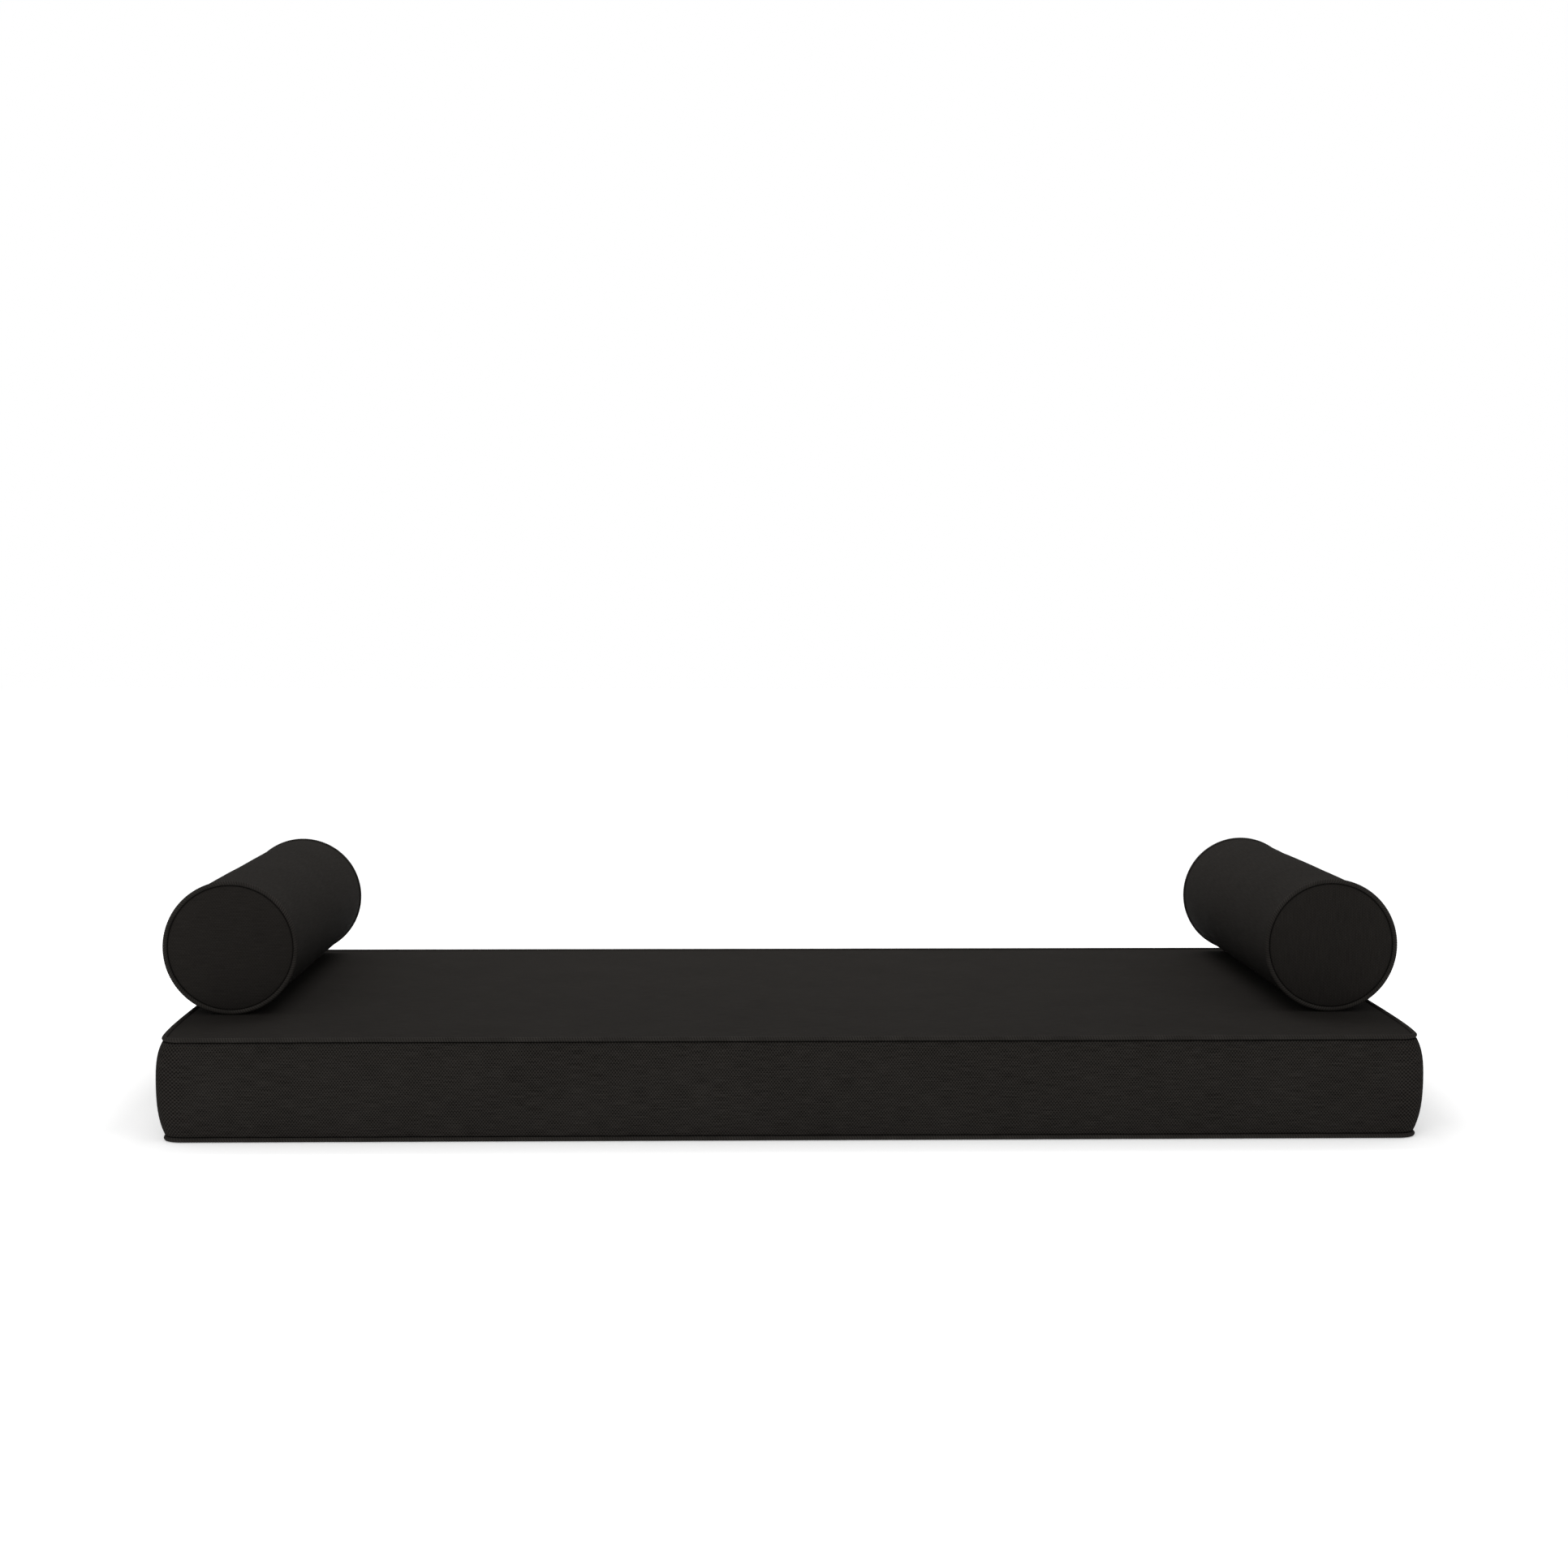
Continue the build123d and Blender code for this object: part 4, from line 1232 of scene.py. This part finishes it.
# %% The zip's slot in a bolster
tape_low, tape_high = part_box("left_bolster_zip_tape_upper")
SLOT_HALF = (SLOT_HIGH - SLOT_LOW) / 2
SLOT_END = (tape_high.y - tape_low.y) / 2
print(f"slot {2000 * SLOT_HALF:.1f} mm wide, {2 * SLOT_END:.3f} m long")

# %% A bolster's closed form, about its own middle
AROUND = 96                 # points round the tube
ROWS_BETWEEN = 46           # rows along the slot
DISC_STEPS = (0.9640, 0.955, 0.93, 0.86, 0.72, 0.52, 0.30, 0.12)        # of the ring's radius
bpy.ops.object.select_all(action="DESELECT")
bpy.ops.mesh.primitive_circle_add(
    vertices=AROUND, radius=RING_RADIUS, fill_type="NOTHING",
    location=(0.0, RING_Y, 0.0), rotation=(math.pi / 2, 0.0, 0.0),
)
tube_form = named("bolster_form")
bpy.ops.object.transform_apply(location=True, rotation=True, scale=True)
angles = np.arctan2(points_of(tube_form)[:, 2], points_of(tube_form)[:, 0])
steps = np.round(angles / (2 * math.pi / AROUND))
angles = (steps + 0.5) * 2 * math.pi / AROUND
angles = (angles + math.pi) % (2 * math.pi) - math.pi
slot_angle = SLOT_HALF / TUBE_RADIUS
beside_slot = np.isclose(np.abs(np.abs(angles) - math.pi), math.pi / AROUND)
angles = np.where(beside_slot, np.sign(angles) * (math.pi - slot_angle), angles)
move_points(tube_form, np.column_stack([
    RING_RADIUS * np.cos(angles), np.full(AROUND, RING_Y), RING_RADIUS * np.sin(angles)
]))
end_rows = [(RING_Y - SLOT_END) * share for share in (0.06, 0.10, 0.16, 0.22, 0.46)]
pick(tube_form)
bpy.ops.object.mode_set(mode="EDIT")
bpy.ops.mesh.select_mode(type="EDGE")
bpy.ops.mesh.select_all(action="SELECT")
for drop in [*end_rows, *[2 * SLOT_END / ROWS_BETWEEN] * ROWS_BETWEEN, *end_rows[::-1]]:
    bpy.ops.mesh.extrude_edges_move(TRANSFORM_OT_translate={"value": (0.0, -drop, 0.0)})
bpy.ops.object.mode_set(mode="OBJECT")
for end in (-1, 1):
    for edge in tube_form.data.edges:
        ys = [tube_form.data.vertices[i].co.y for i in edge.vertices]
        edge.select = all(abs(y - end * RING_Y) < CLOSE for y in ys)
    for vertex in tube_form.data.vertices:
        vertex.select = abs(vertex.co.y - end * RING_Y) < CLOSE
    for polygon in tube_form.data.polygons:
        polygon.select = False
    bpy.ops.object.mode_set(mode="EDIT")
    earlier = 1.0
    for share in DISC_STEPS:
        bpy.ops.mesh.extrude_edges_move()
        ratio = share / earlier
        bpy.ops.transform.resize(value=(ratio, 1.0, ratio), center_override=(0.0, end * RING_Y, 0.0))
        earlier = share
    bpy.ops.mesh.extrude_edges_move()
    bpy.ops.mesh.merge(type="CENTER")
    bpy.ops.mesh.select_all(action="DESELECT")
    bpy.ops.object.mode_set(mode="OBJECT")
pick(tube_form)
bpy.ops.object.mode_set(mode="EDIT")
bpy.ops.mesh.select_all(action="SELECT")
bpy.ops.mesh.normals_make_consistent(inside=False)
bpy.ops.object.mode_set(mode="OBJECT")
print("bolster form:", len(tube_form.data.vertices), "points")

# %% Sorting a bolster's faces, and its cloth map
BOLSTER_PIECES = ("tube_cover", "front_disc", "back_disc", "slot")
for _ in BOLSTER_PIECES:
    tube_form.data.materials.append(bpy.data.materials.new("part"))
for polygon in tube_form.data.polygons:
    centre = polygon.center
    if abs(polygon.normal.y) > 0.5:
        key = "front_disc" if centre.y < 0 else "back_disc"
    elif centre.x < 0 and abs(centre.z) < SLOT_HALF and abs(centre.y) < SLOT_END:
        key = "slot"
    else:
        key = "tube_cover"
    polygon.material_index = BOLSTER_PIECES.index(key)
cloth_map = tube_form.data.uv_layers.new(name="cloth")
tube_places = points_of(tube_form)
for polygon in tube_form.data.polygons:
    on_disc = polygon.material_index in (1, 2)
    middle_angle = math.atan2(polygon.center.z, -polygon.center.x)
    for corner in polygon.loop_indices:
        x, y, z = tube_places[tube_form.data.loops[corner].vertex_index]
        angle = math.atan2(z, -x)
        angle += 2 * math.pi * round((middle_angle - angle) / (2 * math.pi))
        cloth_map.data[corner].uv = (x, z) if on_disc else (y, angle * TUBE_RADIUS)
counts = np.bincount([p.material_index for p in tube_form.data.polygons])
print(dict(zip(BOLSTER_PIECES, counts.tolist())))

# %% Blowing a bolster up and settling it
DISC_CROWN = 0.0034         # how far an end stands out
DISC_SQUARENESS = 11.0      # how squarely it does: more is flatter
DISC_SHARE = 0.15           # how much of that depends on the simulated share
TUBE_SETTLE = 0.007         # how quickly the tube steps up from its ring
TUBE_SHARE = 0.04           # how much of the step depends on the simulated share
from_axis = np.hypot(tube_places[:, 0], tube_places[:, 2])
from_ring = RING_Y - np.abs(tube_places[:, 1])
is_disc = from_ring < CLOSE
is_ring = is_disc & (from_axis > RING_RADIUS - CLOSE)
is_slot = (np.abs(tube_places[:, 1]) < SLOT_END + CLOSE) & (tube_places[:, 0] < 0)
is_slot &= (np.abs(tube_places[:, 2]) < SLOT_HALF + 1e-4) & ~is_disc
tube_swollen = tube_places.copy()
inflate(tube_form, is_ring | is_slot, 4.0)
tube_swollen = points_of(tube_form)
swell = np.linalg.norm(tube_swollen - tube_places, axis=1)
print("bolster swell, in mm: tube", (1000 * swell[~is_disc].max()).round(1),
      "disc", (1000 * swell[is_disc].max()).round(1))


def settle_bolster(square, share):
    """The straight form moved to the shape of the stuffed bolster."""
    settled = square.copy()
    tube = ~is_disc
    relative = share / max(share[tube].max(), 1e-6)
    slack = np.where(is_slot, 1.0, 1 - TUBE_SHARE + TUBE_SHARE * relative)
    reach = (TUBE_RADIUS - RING_RADIUS) * (1 - np.exp(-from_ring / TUBE_SETTLE)) * slack
    scale = (RING_RADIUS + reach) / RING_RADIUS
    settled[tube, 0] *= scale[tube]
    settled[tube, 2] *= scale[tube]
    relative = share / max(share[is_disc].max(), 1e-6)
    rim = RING_RADIUS - WELT_RADIUS
    rise = DISC_CROWN * (1 - np.clip(from_axis / rim, 0, 1) ** DISC_SQUARENESS)
    rise *= 1 - DISC_SHARE + DISC_SHARE * relative
    settled[is_disc, 1] += np.sign(square[is_disc, 1]) * rise[is_disc]
    return settled


move_points(tube_form, settle_bolster(tube_places, swell))

# %% Parting a bolster into its three cloths
bolster_cloth = {}
for shell in parted(tube_form):
    centre, size = points_of(shell).mean(0), np.ptp(points_of(shell), axis=0)
    if size[1] < 0.02:
        key = "front_disc" if centre[1] < 0 else "back_disc"
    else:
        key = "tube_cover" if size[0] > 0.1 else "slot"
    bolster_cloth[key] = shell
bpy.data.objects.remove(bolster_cloth.pop("slot"))
for shell in bolster_cloth.values():
    apply_modifier(
        shell, "SUBSURF", levels=1, render_levels=1, boundary_smooth="PRESERVE_CORNERS"
    )
print("bolster parts:", sorted(bolster_cloth))


# %% Waves in the tube, and the discs' slight unevenness
def wave_tube(obj, amount, seed):
    """Long soft waves along a tube, strongest on top, none at its ends or its zip."""
    places = points_of(obj)
    around = np.arctan2(places[:, 2], -places[:, 0]) * TUBE_RADIUS
    laid = np.column_stack([places[:, 1], around, np.zeros(len(places))])
    slow = soft_noise(laid, (0.13, 0.21, 1.0), seed)
    short = soft_noise(laid, (0.045, 0.09, 1.0), seed + 2)
    ends = ease(RING_Y - np.abs(places[:, 1]), 0.002, 0.05)
    off_zip = ease(np.abs(around), 0.010, 0.05)
    underneath = ease(places[:, 2] / TUBE_RADIUS, -0.98, -0.6)
    push(obj, amount * (slow + 0.3 * short - 0.25) * ends * off_zip * (0.3 + 0.7 * underneath))


def ruffle_disc(obj, seed):
    """A disc's face, a little uneven where the filling presses and puckered at its rim."""
    places = points_of(obj)
    radius = np.hypot(places[:, 0], places[:, 2])
    slow = soft_noise(places, (0.06, 1.0, 0.06), seed)
    angle = np.arctan2(places[:, 2], places[:, 0])
    ring = np.column_stack([np.cos(angle), np.sin(angle), np.zeros(len(places))]) * RING_RADIUS
    short = soft_noise(ring, 0.012, seed + 4)
    rim = np.exp(-((radius / RING_RADIUS - 0.94) / 0.03) ** 2)
    inside = ease(RING_RADIUS - radius, 0.004, 0.02)
    push(obj, 0.0004 * slow * inside + 0.0003 * short * rim)


# %% [markdown]
# ### Two bolsters from one
# The right bolster is the left one turned half round, so its zip also faces outwards. Each copy
# has its own mesh and its own waves, because no two stuffed tubes settle alike.

# %% Setting out both bolsters
def set_out(obj, side):
    """Turns a finished bolster piece as it lies on its side of the mattress, and moves it there."""
    turn = Matrix.Rotation(0.0 if side == "left" else math.pi, 4, "Z")
    obj.data.transform(Matrix.Translation(bolster_place[side]) @ turn)


def end_name(side, own_end):
    """What a bolster's own front or back end is called where it lies."""
    if side == "left":
        return own_end
    return "back" if own_end == "front" else "front"


circle_count = 2 * round(math.pi * RING_RADIUS / RING_STEP)
circle_turns = 2 * math.pi * np.arange(circle_count) / circle_count
circle_out = np.column_stack([np.cos(circle_turns), 0 * circle_turns, np.sin(circle_turns)])
circle_side = np.tile((0.0, 1.0, 0.0), (len(circle_turns), 1))
WAVES = {"left": (0.0006, 31), "right": (0.0010, 47)}       # height of the waves, and their seed
for side in ("left", "right"):
    body = f"{side}_bolster"
    for key, shell in bolster_cloth.items():
        pick(shell)
        bpy.ops.object.duplicate()
        piece = bpy.context.object
        own = key.split("_")[0]
        place_name = key if key == "tube_cover" else f"{end_name(side, own)}_disc"
        piece.name = piece.data.name = f"{side}_bolster_{place_name}_cloth"
        if key == "tube_cover":
            wave_tube(piece, *WAVES[side])
        else:
            ruffle_disc(piece, 61 + len(piece.name))
        if side == "right" and key != "tube_cover":
            for corner in piece.data.uv_layers["cloth"].data:
                corner.uv = (corner.uv[1], -corner.uv[0])
        apply_modifier(piece, "SOLIDIFY", thickness=CLOTH, offset=-1.0, use_even_offset=False)
        smooth(piece)
        set_out(piece, side)
        paint(piece, canvas_tube if key == "tube_cover" else canvas_disc)
        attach(piece, body)
        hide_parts(f"{side}_bolster_{place_name}")
        print(piece.name, len(piece.data.polygons), "faces")
    for own, sign in (("front", -1), ("back", 1)):
        place_name = end_name(side, own)
        middles = RING_RADIUS * circle_out + np.array((0.0, sign * RING_Y, 0.0))
        welt = ring_tube(
            f"{side}_bolster_{place_name}_piping", middles, circle_out, circle_side * sign,
            WELT_RADIUS, 14, GATHER, 71 + sign,
        )
        set_out(welt, side)
        paint(welt, welt_cloth)
        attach(welt, body)
        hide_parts(f"{side}_bolster_{place_name}_welt")
for shell in bolster_cloth.values():
    bpy.data.objects.remove(shell)

# %% [markdown]
# ## Teeth and stitches of the zips
# A zip's two rows are the same tooth over and over. One tooth is modelled from a cube, with a
# narrower head towards the slit, and an Array modifier repeats it along the tape. The stitches
# that hold the tape to the folded edge of the cover are made the same way.

# %% One tooth and one stitch
TOOTH_PITCH = 0.0026
TOOTH_FILL = 0.72           # how much of the pitch a tooth fills
HEAD_WIDTH = 0.62           # of the tooth's own
TOOTH_BEVEL = 0.00025


def small_block(name, size, bevel):
    """A block about the origin with soft edges: the start of a tooth or a stitch."""
    bpy.ops.object.select_all(action="DESELECT")
    bpy.ops.mesh.primitive_cube_add(size=1.0)
    block = named(name)
    block.scale = size
    bpy.ops.object.transform_apply(location=False, rotation=False, scale=True)
    bpy.ops.object.mode_set(mode="EDIT")
    bpy.ops.mesh.select_all(action="SELECT")
    bpy.ops.mesh.bevel(offset=bevel, segments=1, affect="EDGES")
    bpy.ops.object.mode_set(mode="OBJECT")
    return block


def narrow_head(tooth, width):
    """Draws the side of a tooth that faces the slit in to a narrower head."""
    places = points_of(tooth)
    head = places[:, 2] < places[:, 2].min() + 0.35 * np.ptp(places[:, 2])
    places[head, 0] *= width
    move_points(tooth, places)


def row_of(block, length, pitch):
    """Repeats a block along X, centred on the origin."""
    count = int(length // pitch)
    apply_modifier(
        block, "ARRAY", count=count, use_relative_offset=False, use_constant_offset=True,
        constant_offset_displace=(pitch, 0.0, 0.0),
    )
    block.data.transform(Matrix.Translation((-(count - 1) * pitch / 2, 0.0, 0.0)))
    smooth(block, 40.0)
    return count


# %% The rows of each zip
ZIP_TURN = {"mattress": 0.0, "left_bolster": math.pi / 2, "right_bolster": -math.pi / 2}


def place_row(obj, node_name, turn):
    """Moves a row made along X into the box of the node that it stands for."""
    low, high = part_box(node_name)
    obj.data.transform(Matrix.Translation((low + high) / 2) @ Matrix.Rotation(turn, 4, "Z"))


for owner, turn in ZIP_TURN.items():
    for half, sign in (("upper", 1.0), ("lower", -1.0)):
        node_name = f"{owner}_zip_teeth_{half}"
        low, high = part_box(node_name)
        length = max(high.x - low.x, high.y - low.y)
        depth = min(high.x - low.x, high.y - low.y)
        teeth = small_block(
            f"{owner}_zip_tooth_row_{half}",
            (TOOTH_FILL * TOOTH_PITCH, depth, high.z - low.z), TOOTH_BEVEL,
        )
        narrow_head(teeth, HEAD_WIDTH)
        if sign < 0:
            pick(teeth)
            teeth.data.transform(Matrix.Rotation(math.pi, 4, "X"))
        count = row_of(teeth, length - TOOTH_PITCH, TOOTH_PITCH)
        teeth.data.transform(Matrix.Translation((sign * TOOTH_PITCH / 4, 0.0, 0.0)))
        place_row(teeth, node_name, turn)
        paint(teeth, zip_teeth)
        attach(teeth, "mattress" if owner == "mattress" else owner)
        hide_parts(node_name)
        print(teeth.name, count, "teeth")

# %% [markdown]
# ### Topstitching beside the zips
# Two rows of thread run along each zip, 2.5 mm back from the folded edges. The thread is a shade
# lighter than the canvas.

# %% Thread
def thread_material():
    """Waxed polyester thread, twisted, a shade lighter than the canvas."""
    material, tree, shader = new_material("charcoal_thread")
    place = node(tree, "ShaderNodeTexCoord").outputs["Object"]
    parts = node(tree, "ShaderNodeSeparateXYZ", {"Vector": place})
    along = calc(tree, "ADD", parts.outputs["X"], parts.outputs["Y"])
    slope = calc(tree, "ADD", along, parts.outputs["Z"])
    twist = calc(tree, "SINE", calc(tree, "MULTIPLY", slope, 2 * math.pi / 0.0006))
    lit = calc(tree, "MULTIPLY_ADD", twist, 0.5, 0.5)
    colour = blend_colours(tree, lit, (0.018, 0.017, 0.016), (0.050, 0.047, 0.043))
    rough = to_range(tree, lit, 0.0, 1.0, 0.6, 0.45)
    dress(tree, shader, colour, rough, lit, 0.00008)
    return material


thread = thread_material()
STITCH_PITCH = 0.0038
STITCH_BACK = 0.0025
STITCH_SIZE = (0.0030, 0.0006, 0.0006)


def stitch_row(name, length):
    """A row of stitches along X."""
    stitches = small_block(name, STITCH_SIZE, 0.00018)
    return stitches, row_of(stitches, length, STITCH_PITCH)


for half, sign in (("upper", 1.0), ("lower", -1.0)):
    stitches, count = stitch_row(f"mattress_zip_stitches_{half}", 2 * BACK_SEAM_X - 0.01)
    height = MIDDLE_Z + sign * (SLOT_HALF + STITCH_BACK)
    share = (height - MIDDLE_Z) / HALF_BOXING
    surface = SEAM_Y + BULGE * (1 - abs(share) ** FULLNESS)
    stitches.data.transform(Matrix.Translation((0.0, surface, height)))
    paint(stitches, thread)
    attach(stitches, "mattress")
    print(stitches.name, count, "stitches")
    for side in ("left", "right"):
        stitches, count = stitch_row(f"{side}_bolster_zip_stitches_{half}", 2 * SLOT_END)
        tilt = sign * (SLOT_HALF + STITCH_BACK) / TUBE_RADIUS
        stitches.data.transform(Matrix.Rotation(math.pi / 2, 4, "Z"))
        stitches.data.transform(Matrix.Translation((-TUBE_RADIUS, 0.0, 0.0)))
        stitches.data.transform(Matrix.Rotation(tilt, 4, "Y"))
        set_out(stitches, side)
        paint(stitches, thread)
        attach(stitches, f"{side}_bolster")
